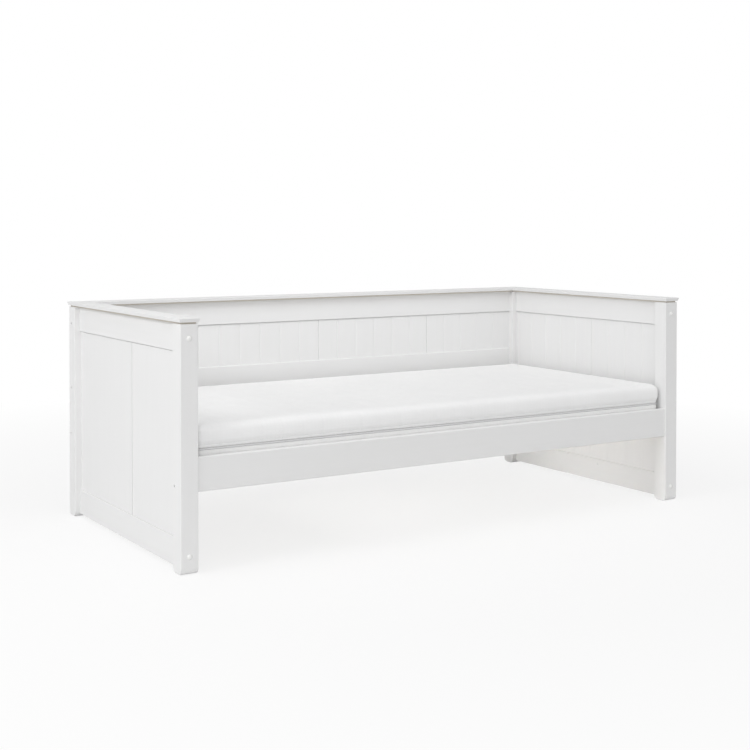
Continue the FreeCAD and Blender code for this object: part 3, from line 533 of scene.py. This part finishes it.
def make_pad(name, half, levels, corner, edge, divisions, crown):
    """The top and sides of a pad, open below, with its top at z 0 in the middle."""
    grid = (CELLS[0] * divisions, CELLS[1] * divisions)
    sizes = [2 * half[k] / grid[k] for k in (0, 1)]
    work = bmesh.new()
    seam_layer = work.verts.layers.float.new("to_seam")
    held_layer = work.verts.layers.float.new("held")
    uv_layer = work.loops.layers.uv.new("sheet")

    def flat(spot):
        return [(2 * spot[k] / grid[k] - 1) * half[k] for k in (0, 1)]

    def point(spot, depth, inset, on_side):
        x, y = flat(spot)
        place, way = rounded(x, y, -depth, half, corner, edge)
        place.z += crown * (1 - (x / half[0]) ** 4) * (1 - (y / half[1]) ** 4)
        vert = work.verts.new((place.x - way.x * inset, place.y - way.y * inset, place.z))
        use = [not (on_side and spot[k] in (0, grid[k])) for k in (0, 1)]
        vert[seam_layer] = seam_distance(spot, sizes, divisions, use)
        return vert

    def face(corners, places):
        made = work.faces.new(corners)
        made.smooth = True
        for loop, place in zip(made.loops, places):
            loop[uv_layer].uv = place

    top = [[point((c, r), 0.0, 0.0, False) for r in range(grid[1] + 1)] for c in range(grid[0] + 1)]
    for c in range(grid[0]):
        for r in range(grid[1]):
            spots = [(c, r), (c + 1, r), (c + 1, r + 1), (c, r + 1)]
            face([top[a][b] for a, b in spots], [flat(spot) for spot in spots])

    ring = ring_of(*grid)
    turns = [(k, (k + 1) % len(ring)) for k in range(len(ring))]
    above, above_depth = [top[c][r] for c, r in ring], 0.0
    for depth, inset in levels:
        below = [point(spot, depth, inset, True) for spot in ring]
        for k, n in turns:
            side = [(ring[k][a] == ring[n][a] == grid[a]) - (ring[k][a] == ring[n][a] == 0)
                    for a in (0, 1)]
            places = []
            for spot, drop in ((ring[n], above_depth), (ring[k], above_depth), (ring[k], depth),
                               (ring[n], depth)):
                x, y = flat(spot)
                places.append((x + side[0] * drop, y + side[1] * drop))
            face([above[n], above[k], below[k], below[n]], places)
        above, above_depth = below, depth
    for vert in above:
        vert[held_layer] = 1.0
    return piece_from(work, name)


print("a pad has", CELLS[0] * CELLS[1], "quilted cells")

# %% [markdown]
# ## Blowing up the cloth
# A quilted cover is flat at its seams and puffs up between them, because the wadding pushes the knit
# out. A cloth simulation with air pressure inside does exactly that, with the seams held in place.
# Gravity is off, so only the pressure acts. The pad swells quickly, so a cap limits how far a point
# may move, and the result is written back to the mesh, so that no simulation is left on the piece.
# All the points of a mesh are read and written at once, which is far quicker than one by one.

# %% Reading and writing points
def read_points(mesh, attribute=None):
    values = np.zeros(len(mesh.vertices) * (1 if attribute else 3), np.float32)
    if attribute:
        mesh.attributes[attribute].data.foreach_get("value", values)
        return values
    mesh.vertices.foreach_get("co", values)
    return values.reshape(-1, 3)


def write_points(mesh, points):
    mesh.vertices.foreach_set("co", points.astype(np.float32).ravel())
    mesh.update()


def normals_of(mesh):
    values = np.zeros(len(mesh.vertices) * 3, np.float32)
    mesh.vertex_normals.foreach_get("vector", values)
    return values.reshape(-1, 3)


print("helpers for points ready")

# %% [markdown]
# The seams and the open rim go into a vertex group that the cloth is pinned to.

# %% Cloth
FRAMES = 20
PRESSURE = 4.0
KNIT_CLOTH = {"quality": 5, "mass": 0.25, "tension_stiffness": 12.0, "compression_stiffness": 12.0,
              "bending_stiffness": 0.4}


def puffed_by_cloth(piece):
    """The points after the cloth has been blown up for a few frames."""
    mesh = piece.data
    held = (read_points(mesh, "held") > 0.5) | (read_points(mesh, "to_seam") < 1e-5)
    sewn = piece.vertex_groups.new(name="sewn")
    sewn.add([int(k) for k in np.flatnonzero(held)], 1.0, "REPLACE")
    cloth = piece.modifiers.new("cloth", "CLOTH").settings
    for setting, value in KNIT_CLOTH.items():
        setattr(cloth, setting, value)
    cloth.use_pressure = True
    cloth.uniform_pressure_force = PRESSURE
    cloth.effector_weights.gravity = 0.0
    cloth.vertex_group_mass = sewn.name
    for number in range(1, FRAMES + 1):
        bpy.context.scene.frame_set(number)
    shown = piece.evaluated_get(bpy.context.evaluated_depsgraph_get())
    moved = read_points(shown.data).copy()
    piece.modifiers.clear()
    piece.vertex_groups.clear()
    bpy.context.scene.frame_set(1)
    return moved


def blow_up(piece, cap):
    start = read_points(piece.data)
    moved = puffed_by_cloth(piece)
    step = moved - start
    reach = np.linalg.norm(step, axis=1)
    print(piece.name, "moved by", round(float(reach.mean()) * 1000, 2), "mm on average, cap", cap)
    step *= np.minimum(1.0, cap / np.maximum(reach, 1e-9))[:, None]
    write_points(piece.data, start + step)


# %% [markdown]
# ## Smoothing and sewing
# One level of subdivision rounds the puffs. The sewing comes after it, because a seam is narrower
# than a cell of the mesh: the thread pulls a fine groove into the knit along each seam. The knit is
# never quite even, so a very small noise moves the surface in and out as well.

# %% Smoothing and sewing
SEAM_DEPTH = 0.0011
SEAM_WIDTH = 0.0035
UNEVEN = 0.0005
UNEVEN_SCALE = 24.0


def evaluated_mesh(piece):
    """The piece's mesh with its modifiers applied."""
    graph = bpy.context.evaluated_depsgraph_get()
    graph.update()
    return bpy.data.meshes.new_from_object(piece.evaluated_get(graph), depsgraph=graph)


def smooth_and_sew(piece, seams=True):
    level = piece.modifiers.new("smooth", "SUBSURF")
    level.levels = level.render_levels = 1
    piece.data = evaluated_mesh(piece)
    piece.modifiers.clear()
    mesh = piece.data
    points, ways = read_points(mesh), normals_of(mesh)
    out = np.array([noise.noise(Vector(point) * UNEVEN_SCALE) for point in points]) * UNEVEN
    if seams:
        out -= SEAM_DEPTH * np.exp(-(read_points(mesh, "to_seam") / SEAM_WIDTH) ** 2)
    out[read_points(mesh, "held") > 0.1] = 0
    write_points(mesh, points + ways * out[:, None])


print("seams are", SEAM_DEPTH * 1000, "mm deep")

# %% [markdown]
# Each half of the cover is a layer and not a solid block, because the foam lies inside. So at the
# rim it turns inwards by its thickness, goes up to the underside of the top, and closes there. Then
# the mesh moves to its place, and the object itself stays at the origin.

# %% Closing a pad and putting it in place
def close_below(piece, half, corner, lining=0.0):
    """Closes the open side, with the layer turned inwards first if it has a thickness."""
    work = bmesh.new()
    work.from_mesh(piece.data)
    rim = [edge for edge in work.edges if edge.is_boundary]
    for inset, rise in ((lining, None), (0.0, -lining)) if lining else ():
        grown = bmesh.ops.extrude_edge_only(work, edges=rim)["geom"]
        for vert in grown:
            if isinstance(vert, bmesh.types.BMVert):
                core = Vector([clamp(vert.co[k], half[k] - corner) for k in (0, 1)])
                way = (vert.co.xy - core).normalized()
                vert.co.x -= way.x * inset
                vert.co.y -= way.y * inset
                vert.co.z = vert.co.z if rise is None else rise
        rim = [edge for edge in grown if isinstance(edge, bmesh.types.BMEdge) and edge.is_boundary]
    bmesh.ops.edgeloop_fill(work, edges=rim)
    bmesh.ops.recalc_face_normals(work, faces=work.faces)
    work.to_mesh(piece.data)
    work.free()


def put_in_place(piece, top, upside_down=False):
    points = read_points(piece.data)
    points[:, 2] *= -1 if upside_down else 1
    write_points(piece.data, points + np.array([0, MIDDLE_Y, top]))
    if upside_down:
        piece.data.flip_normals()


print("pads can be closed and placed")

# %% [markdown]
# ## The upper cover
# The upper half of the cover shows most. Its sides are drawn in at the zip, and a hem runs round it
# there: a band one centimetre high with a line of stitches above it. The start shape is a little
# smaller than the CAD solid it stands for, to leave room for the puffs.

# %% Upper cover
PUFF = 0.0028
COVER = 0.010           # thickness of the quilted layer
SIDE_CORNER = 0.028     # corners, seen from above
TOP_EDGE = 0.028        # edge, seen from the side
CROWN = 0.002
HEM = 0.0105            # from the rim up to the line of stitches
HEM_INSET = 0.0030      # how far the stitches pull the knit in
RIM_INSET = 0.0032      # how far the rim at the zip is drawn in
FINE = 7                # divisions of a cell where the cover shows
UPPER_TOP = (0.010, 0.019, TOP_EDGE)    # levels of the side, by their depth below the top
UPPER_SIDE = [                          # and by their height above the rim, with how far in
    (0.023, 0.0), (0.0165, 0.0004), (0.0135, 0.0012), (HEM, HEM_INSET), (0.0080, 0.0012),
    (0.0045, 0.0012), (0.0015, 0.0020), (0.0, RIM_INSET)]


def make_cover(name, height, top, side, edge, divisions, crown, puff, finish):
    """One half of the cover, with its top at z 0."""
    half = [size - puff for size in HALF_SIZE]
    levels = [(depth, 0.0) for depth in top] + [(height - rise, inset) for rise, inset in side]
    cover = make_pad(name, half, levels, SIDE_CORNER, edge, divisions, crown)
    blow_up(cover, puff)
    smooth_and_sew(cover)
    close_below(cover, half, SIDE_CORNER, COVER)
    give(cover, finish)
    return cover


upper_top = upper_high.z - PUFF - CROWN
upper_cover = make_cover("mattress_upper_quilt", upper_top - upper_low.z, UPPER_TOP, UPPER_SIDE,
                         TOP_EDGE, FINE, CROWN, PUFF, knit_finish)
put_in_place(upper_cover, upper_top)
print("upper cover:", len(upper_cover.data.polygons), "faces")

# %% [markdown]
# ## The lower cover
# The lower half is the same kind of pad, made upright and then turned upside down in its mesh. Its
# underside lies on the slats, so it is flatter, with a tighter edge. The stitched cells show as short
# upright lines on its border, just above the bed rail.

# %% Lower cover
LOWER_EDGE = 0.016
LOWER_PUFF = 0.0018
COARSE = 5              # divisions of a cell where little of the cover shows
LOWER_TOP = (0.008, LOWER_EDGE, 0.028, 0.042)
LOWER_SIDE = [(0.018, 0.0), (0.0105, 0.0002), (0.0050, 0.0010), (0.0018, 0.0020), (0.0, RIM_INSET)]

lower_height = lower_high.z - lower_low.z - LOWER_PUFF
lower_cover = make_cover("mattress_lower_quilt", lower_height, LOWER_TOP, LOWER_SIDE, LOWER_EDGE,
                         COARSE, 0.0, LOWER_PUFF, underside_finish)
put_in_place(lower_cover, lower_low.z + LOWER_PUFF, upside_down=True)
print("lower cover:", len(lower_cover.data.polygons), "faces")

# %% [markdown]
# ## The foam core
# The core fills the cover. It is cut from a block, so its edges are only slightly rounded. The same
# function makes it, with coarse cells, no seams and no lining.

# %% Foam core
CORE_EDGE = 0.010
FOOT = (0.004, 0.002)   # how high its lower edge begins to draw in, and how far it does

core_half = ((core_high.x - core_low.x) / 2, (core_high.y - core_low.y) / 2)
core_height = core_high.z - core_low.z
core_levels = [(CORE_EDGE, 0.0), (core_height / 2, 0.0), (core_height - FOOT[0], 0.0),
               (core_height, FOOT[1])]
foam_core = make_pad("foam_core", core_half, core_levels, SIDE_CORNER - COVER, CORE_EDGE, 1, 0.0)
smooth_and_sew(foam_core, seams=False)
close_below(foam_core, core_half, SIDE_CORNER - COVER)
put_in_place(foam_core, core_high.z)
give(foam_core, foam_finish)
print("foam core:", len(foam_core.data.polygons), "faces")

# %% [markdown]
# ## The zip
# The two halves of the cover meet at a zip that runs all round. Its tape is a thin band set back
# between them. It is swept in code: the same short section is set out at each point of the rounded
# outline, and neighbouring sections are joined.

# %% Bands that run round the mattress
CORNER_STEPS = 10


def outline(inset):
    """Points round the mattress, a distance inside its full size."""
    points = []
    for quarter, (sx, sy) in enumerate(((1, 1), (-1, 1), (-1, -1), (1, -1))):
        middle = Vector((sx * (HALF_SIZE[0] - SIDE_CORNER), sy * (HALF_SIZE[1] - SIDE_CORNER)))
        for step in range(CORNER_STEPS + 1):
            turn = math.radians(90) * (quarter + step / CORNER_STEPS)
            way = Vector((math.cos(turn), math.sin(turn)))
            points.append(middle + way * (SIDE_CORNER - inset) * fullness(way))
    return points


def band(name, section, finish):
    """A closed band whose section is a list of (inset, height)."""
    work = bmesh.new()
    rings = [[work.verts.new((p.x, p.y + MIDDLE_Y, z)) for p in outline(inset)]
             for inset, z in section]
    count = len(rings[0])
    for ring, above in zip(rings, rings[1:] + rings[:1]):
        for k in range(count):
            n = (k + 1) % count
            work.faces.new([ring[k], ring[n], above[n], above[k]]).smooth = True
    bmesh.ops.recalc_face_normals(work, faces=work.faces)
    piece = piece_from(work, name)
    give(piece, finish)
    return piece


TAPE_FACE = 0.0032      # how far inside the mattress's full size the tape's face is
TAPE_BACK = TAPE_FACE + 0.0010
zip_tape = band("zip_tape_band", [(TAPE_FACE, zip_low.z), (TAPE_FACE, zip_high.z),
                                  (TAPE_BACK, zip_high.z), (TAPE_BACK, zip_low.z)], zip_finish)
print("zip tape:", len(zip_tape.data.polygons), "faces")

# %% [markdown]
# ## Repeated pieces with Geometry Nodes
# The zip's teeth and the stitches repeat hundreds of times along a line, which is work for Geometry
# Nodes. A tree is a small machine: points are set along a line at a steady pitch, and a small shape
# is put on each. Realize Instances turns the copies into real faces. The helper runs such a tree once
# and keeps the plain mesh.

# %% Helpers for Geometry Nodes
def new_tool(name, sockets):
    """A tree with named inputs, as (tree, input node, output node)."""
    tree = bpy.data.node_groups.new(name, "GeometryNodeTree")
    for label, kind in sockets:
        tree.interface.new_socket(name=label, in_out="INPUT", socket_type="NodeSocket" + kind)
    tree.interface.new_socket(name="Geometry", in_out="OUTPUT", socket_type="NodeSocketGeometry")
    return tree, tree.nodes.new("NodeGroupInput"), tree.nodes.new("NodeGroupOutput")


def run_tool(tree, name, values):
    """The plain mesh that a tree makes with these values, as a new piece."""
    piece = new_object(name, bpy.data.meshes.new(name))
    modifier = piece.modifiers.new(name, "NODES")
    modifier.node_group = tree
    for item in tree.interface.items_tree:
        if item.item_type == "SOCKET" and item.in_out == "INPUT" and item.name in values:
            modifier[item.identifier] = values[item.name]
    piece.data = evaluated_mesh(piece)
    piece.modifiers.clear()
    return piece


def copy_and_end(tree, end, finish, copies):
    """Ends a tree: copies on points, real faces, smooth shading and the finish."""
    made = add(tree, "GeometryNodeInstanceOnPoints", copies)
    real = add(tree, "GeometryNodeRealizeInstances", {"Geometry": made})
    smooth = add(tree, "GeometryNodeSetShadeSmooth", {"Geometry": real})
    coloured = add(tree, "GeometryNodeSetMaterial", {"Geometry": smooth, "Material": finish})
    tree.links.new(coloured.outputs[0], end.inputs["Geometry"])


print("Geometry Nodes helpers ready")

# %% [markdown]
# The first tree draws a rounded rectangle and sets small grains along it, each turned to follow it.
# With tall grains close together it makes the zip's teeth, and with short ones lying along the line
# it makes the row of stitches above the hem.

# %% Grains round the mattress
def grains_tool():
    tree, start, end = new_tool("grains_round_an_edge", [
        ("Length", "Float"), ("Width", "Float"), ("Corner", "Float"), ("Place", "Vector"),
        ("Pitch", "Float"), ("Grain", "Vector"), ("Finish", "Material")])
    given = start.outputs
    line = add(tree, "GeometryNodeCurvePrimitiveQuadrilateral", {
        "Width": given["Length"], "Height": given["Width"]})
    soft = add(tree, "GeometryNodeFilletCurve", {
        "Curve": line, "Count": 12, "Radius": given["Corner"]}, mode="POLY")
    placed = add(tree, "GeometryNodeTransform", {"Geometry": soft, "Translation": given["Place"]})
    even = add(tree, "GeometryNodeResampleCurve", {"Curve": placed, "Length": given["Pitch"]},
               mode="LENGTH")
    tangent = add(tree, "GeometryNodeInputTangent")
    turn = add(tree, "FunctionNodeAlignRotationToVector", {"Vector": tangent}, axis="X")
    grain = add(tree, "GeometryNodeMeshIcoSphere", {"Radius": 1.0, "Subdivisions": 1})
    copy_and_end(tree, end, given["Finish"], {
        "Points": even, "Instance": grain, "Rotation": turn, "Scale": given["Grain"]})
    return tree


LIKE_FULL_CORNER = 0.44     # a round corner this many times as large runs closest to a full one
TOOTH = (0.0009, 0.0009, 0.0022)    # half its size along the line, across it and in height
TOOTH_PITCH = 0.0026
STITCH = (0.0022, 0.0005, 0.0005)
STITCH_PITCH = 0.0062
STITCH_INSET = 0.0055       # the thread stands a little out of the groove that it pulls


def edge_values(inset, z, pitch, grain, finish):
    return {"Length": 2 * (HALF_SIZE[0] - inset), "Width": 2 * (HALF_SIZE[1] - inset),
            "Corner": LIKE_FULL_CORNER * (SIDE_CORNER - inset), "Place": (0.0, MIDDLE_Y, z),
            "Pitch": pitch, "Grain": grain, "Finish": finish}


grains = grains_tool()
zip_teeth = run_tool(grains, "zip_teeth", edge_values(
    TAPE_FACE, (zip_low.z + zip_high.z) / 2, TOOTH_PITCH, TOOTH, zip_finish))
hem_stitches = run_tool(grains, "hem_stitches", edge_values(
    STITCH_INSET, upper_low.z + HEM, STITCH_PITCH, STITCH, thread_finish))
print("teeth:", len(zip_teeth.data.polygons), "faces, hem:", len(hem_stitches.data.polygons), "faces")

# %% [markdown]
# ## Tapes under the slats
# Two woven tapes join the slats underneath and keep them at their spacing. Between two slats such a
# tape hangs down a little. It is a narrow strip swept along its own line.

# %% Tapes
SLAT_COUNT = 14
SLAT_WIDTH = 0.070
WEBBING_WIDTH = 0.025
TAPE_SAG = 0.0035
TAPE_STEPS = 8          # pieces of tape between two slats

tapes_low, tapes_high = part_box("slat_tapes")
slats_low, slats_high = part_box("slats")
slat_step = (slats_high.x - slats_low.x - SLAT_WIDTH) / (SLAT_COUNT - 1)
slat_middles = [slats_low.x + SLAT_WIDTH / 2 + k * slat_step for k in range(SLAT_COUNT)]
tape_thick = tapes_high.z - tapes_low.z
tape_rows = [tapes_low.y + WEBBING_WIDTH / 2, tapes_high.y - WEBBING_WIDTH / 2]


def tape_line():
    """Places along one tape and how far it hangs there, from end to end."""
    line = [(tapes_low.x, 0.0)]
    gap = slat_step - SLAT_WIDTH
    for middle in slat_middles:
        line.append((middle, 0.0))
        if middle == slat_middles[-1]:
            break
        first = middle + SLAT_WIDTH / 2
        for step in range(TAPE_STEPS + 1):
            share = step / TAPE_STEPS
            line.append((first + share * gap, TAPE_SAG * math.sin(math.pi * share) ** 2))
    return line + [(tapes_high.x, 0.0)]


def make_tapes():
    work = bmesh.new()
    half = WEBBING_WIDTH / 2
    corners = ((-half, 0), (half, 0), (half, tape_thick), (-half, tape_thick))
    for y in tape_rows:
        sections = [[work.verts.new((x, y + dy, tapes_high.z - drop - dz)) for dy, dz in corners]
                    for x, drop in tape_line()]
        for first, second in zip(sections, sections[1:]):
            for k in range(4):
                n = (k + 1) % 4
                work.faces.new([first[k], second[k], second[n], first[n]])
        work.faces.new(sections[0][::-1])
        work.faces.new(sections[-1])
    bmesh.ops.recalc_face_normals(work, faces=work.faces)
    piece = piece_from(work, "slat_webbing")
    give(piece, tape_finish)
    return piece


webbing = make_tapes()
print("tapes at y", [round(y, 3) for y in tape_rows], "slats every", round(slat_step, 4), "m")

# %% [markdown]
# A staple under each slat holds the tape. The staples are a Geometry Nodes tree: a row of points with
# a short piece of wire on each. Only the back of a staple shows, because its legs are in the wood.

# %% Staples
STAPLE_DROP = 0.0004    # from the tape's underside to the middle of the wire
STAPLE_WIDTH = 0.010
STAPLE_WIRE = 0.0005    # radius


def staples_tool():
    tree, start, end = new_tool("row_of_staples", [
        ("Count", "Int"), ("First", "Vector"), ("Step", "Vector"), ("Staple", "Vector"),
        ("Finish", "Material")])
    given = start.outputs
    row = add(tree, "GeometryNodeMeshLine", {
        "Count": given["Count"], "Start Location": given["First"], "Offset": given["Step"]})
    wire = add(tree, "GeometryNodeMeshCylinder", {"Vertices": 8, "Radius": 1.0, "Depth": 2.0})
    lying = add(tree, "GeometryNodeTransform", {
        "Geometry": wire, "Rotation": (0.0, math.radians(90), 0.0)})
    copy_and_end(tree, end, given["Finish"], {
        "Points": row, "Instance": lying, "Scale": given["Staple"]})
    return tree


staples = staples_tool()
staple_pieces = []
for side, y in zip(("front", "rear"), tape_rows):
    staple_pieces.append(run_tool(staples, "tape_staples_" + side, {
        "Count": SLAT_COUNT, "First": (slat_middles[0], y, tapes_low.z - STAPLE_DROP),
        "Step": (slat_step, 0.0, 0.0), "Staple": (STAPLE_WIDTH / 2, STAPLE_WIRE, STAPLE_WIRE),
        "Finish": steel_finish}))
print("staples:", [len(piece.data.polygons) for piece in staple_pieces], "faces")

# %% [markdown]
# ## Over the rail
# A mattress pressed into a bed comes forward a little above the bed rail, where nothing holds it. The
# zip keeps its place and the cover bulges out above it: each point moves forward, most near the front
# edge and not at all near the back. The stitches of the hem move with it.

# %% Over the rail
LEAN = 0.008            # metres forward
LEAN_DEPTH = 0.12       # how far back from the front it still acts
LEAN_RISE = 0.030       # height above the zip at which it acts fully


def smooth_share(value):
    """0 below 0, 1 above 1, and a smooth rise between."""
    value = min(1.0, max(0.0, value))
    return value * value * (3 - 2 * value)


front_face = MIDDLE_Y - HALF_SIZE[1]
for piece in (upper_cover, hem_stitches):
    for vertex in piece.data.vertices:
        height = smooth_share((vertex.co.z - upper_low.z) / LEAN_RISE)
        nearness = smooth_share(1 - (vertex.co.y - front_face) / LEAN_DEPTH)
        vertex.co.y -= LEAN * height * nearness
print("front of the mattress", round(LEAN * 1000, 1), "mm forward above the zip")

# %% [markdown]
# ## Joining the pieces to the frame
# Every piece says which part of the daybed carries it. The mattress lifts off the slats, so cover,
# foam and zip ride on the mattress, and the tapes and staples ride on the frame. The CAD solids that
# these pieces stand for are hidden.

# %% Joining the pieces to the frame
for piece in (upper_cover, lower_cover, foam_core, zip_tape, zip_teeth, hem_stitches):
    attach(piece, "mattress")
for piece in (webbing, *staple_pieces):
    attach(piece, "frame")
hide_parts("mattress_upper_cover")
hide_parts("mattress_lower_cover")
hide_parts("mattress_core")
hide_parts("mattress_zip")
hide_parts("slat_tapes")
print("pieces joined")

# %% [markdown]
# ## Floor
# The floor is plain and pale, and it only keeps the daybed's soft shadow. Seen by the camera it
# glows a little, so that it is as white as paper, and further out it glows fully, so no edge shows
# where it ends. Light that bounces off it onto the daybed comes from its plain white colour alone:
# Light Path tells the two apart.

# %% Floor
FLOOR_SIZE = 30.0
FLOOR_COLOUR = (0.93, 0.93, 0.93)
FLOOR_SHADE = (0.91605, 0.91605, 0.91605)
FLOOR_GLOW = 0.80       # share of plain white seen near the daybed
FADE_FROM = 1.5         # metres from the middle
FADE_TO = 3.5


def seen_directly(tree):
    """1 for rays from the camera, a mirror or glass, and 0 for light that bounces."""
    rays = add(tree, "ShaderNodeLightPath").outputs
    shiny = calculate(tree, "MAXIMUM", rays["Is Camera Ray"], rays["Is Glossy Ray"])
    return calculate(tree, "MAXIMUM", shiny, rays["Is Transmission Ray"])


def floor_finish():
    made, tree, shader = new_finish("pale_floor")
    lead(blend_colours(tree, noise_on(tree, 40.0, 4.0), FLOOR_SHADE, FLOOR_COLOUR), shader,
         "Base Color")
    shader.inputs["Roughness"].default_value = 0.9
    distance = add(tree, "ShaderNodeVectorMath", {0: place_on(tree)}, operation="LENGTH")
    glow = add(tree, "ShaderNodeEmission", {"Color": (1, 1, 1, 1), "Strength": 1.0})
    share = spread(tree, distance.outputs["Value"], FADE_FROM, FADE_TO, FLOOR_GLOW, 1.0)
    both = add(tree, "ShaderNodeMixShader", {
        0: calculate(tree, "MULTIPLY", share, seen_directly(tree)), 1: shader, 2: glow})
    tree.links.new(both.outputs[0], tree.nodes["Material Output"].inputs["Surface"])
    return made


floor_mesh = bpy.data.meshes.new("floor")
reach = FLOOR_SIZE / 2
floor_mesh.from_pydata([(-reach, -reach, 0), (reach, -reach, 0), (reach, reach, 0),
                        (-reach, reach, 0)], [], [(0, 1, 2, 3)])
floor = new_object("floor", floor_mesh)
give(floor, floor_finish())
print("floor", FLOOR_SIZE, "m square")

# %% [markdown]
# ## Light
# The light is that of a white studio. Most of it comes from all round, a little more from the front
# and from the left, so the world's strength depends on the direction. One large soft lamp hangs
# above, and a smaller one high on the left draws the shadows under the cap and the rail. A weak wide
# lamp over the bed lifts the inside of the back. Another, lower than the caps, takes the left end's
# shadow off the mattress, as white walls do. A small one with a narrow beam lies under the bed, where
# it would be nearly dark. Together they light a surface so that its colour comes out as written.

# %% Light
WORLD_LIGHT = 0.574     # strength of the world, on average over all directions
WORLD_SLANT = (-0.214, -0.360, 0.0)  # how much it grows towards each direction
LAMPS = [               # name, place, what it points at, width and height, watts, beam in degrees
    ("overhead", (-0.6, -0.8, 3.6), (0.0, 0.0, 0.4), (3.0, 3.0), 15.4, 180),
    ("left", (-4.2, -1.0, 2.6), (0.0, 0.0, 0.4), (1.0, 1.0), 42.3, 180),
    ("over_bed", (0.0, -0.35, 1.75), (0.0, 0.49, 0.55), (2.2, 0.6), 2.8, 180),
    ("in_bed", (-0.76, -0.02, 0.77), (-0.76, -0.02, 0.46), (0.42, 0.84), 0.30, 140),
    ("under_bed", (-0.55, -0.05, 0.13), (1.02, 0.0, 0.14), (0.7, 0.16), 1.0, 50),
]


def studio_strength(tree):
    """The world's strength: slanted as light, and plain white where it is seen."""
    direction = add(tree, "ShaderNodeTexCoord").outputs["Generated"]
    slant = add(tree, "ShaderNodeVectorMath", {0: direction, 1: WORLD_SLANT}, operation="DOT_PRODUCT")
    light = calculate(tree, "ADD", slant.outputs["Value"], WORLD_LIGHT)
    return spread(tree, seen_directly(tree), 0, 1, light, 1.0)


world = bpy.data.worlds.new("studio")
bpy.context.scene.world = world
world.use_nodes = True
sky = world.node_tree.nodes["Background"]
sky.inputs["Color"].default_value = (1, 1, 1, 1)
world.node_tree.links.new(studio_strength(world.node_tree), sky.inputs["Strength"])
for name, place, target, (wide, high), power, beam in LAMPS:
    lamp_data = bpy.data.lights.new(name, "AREA")
    lamp_data.shape = "RECTANGLE"
    lamp_data.size, lamp_data.size_y, lamp_data.energy = wide, high, power
    lamp_data.spread = math.radians(beam)
    lamp = new_object(name, lamp_data)
    lamp.location = place
    lamp.rotation_euler = (Vector(target) - Vector(place)).to_track_quat("-Z", "Y").to_euler()
    lamp.visible_camera = False
print("lamps:", [row[0] for row in LAMPS])
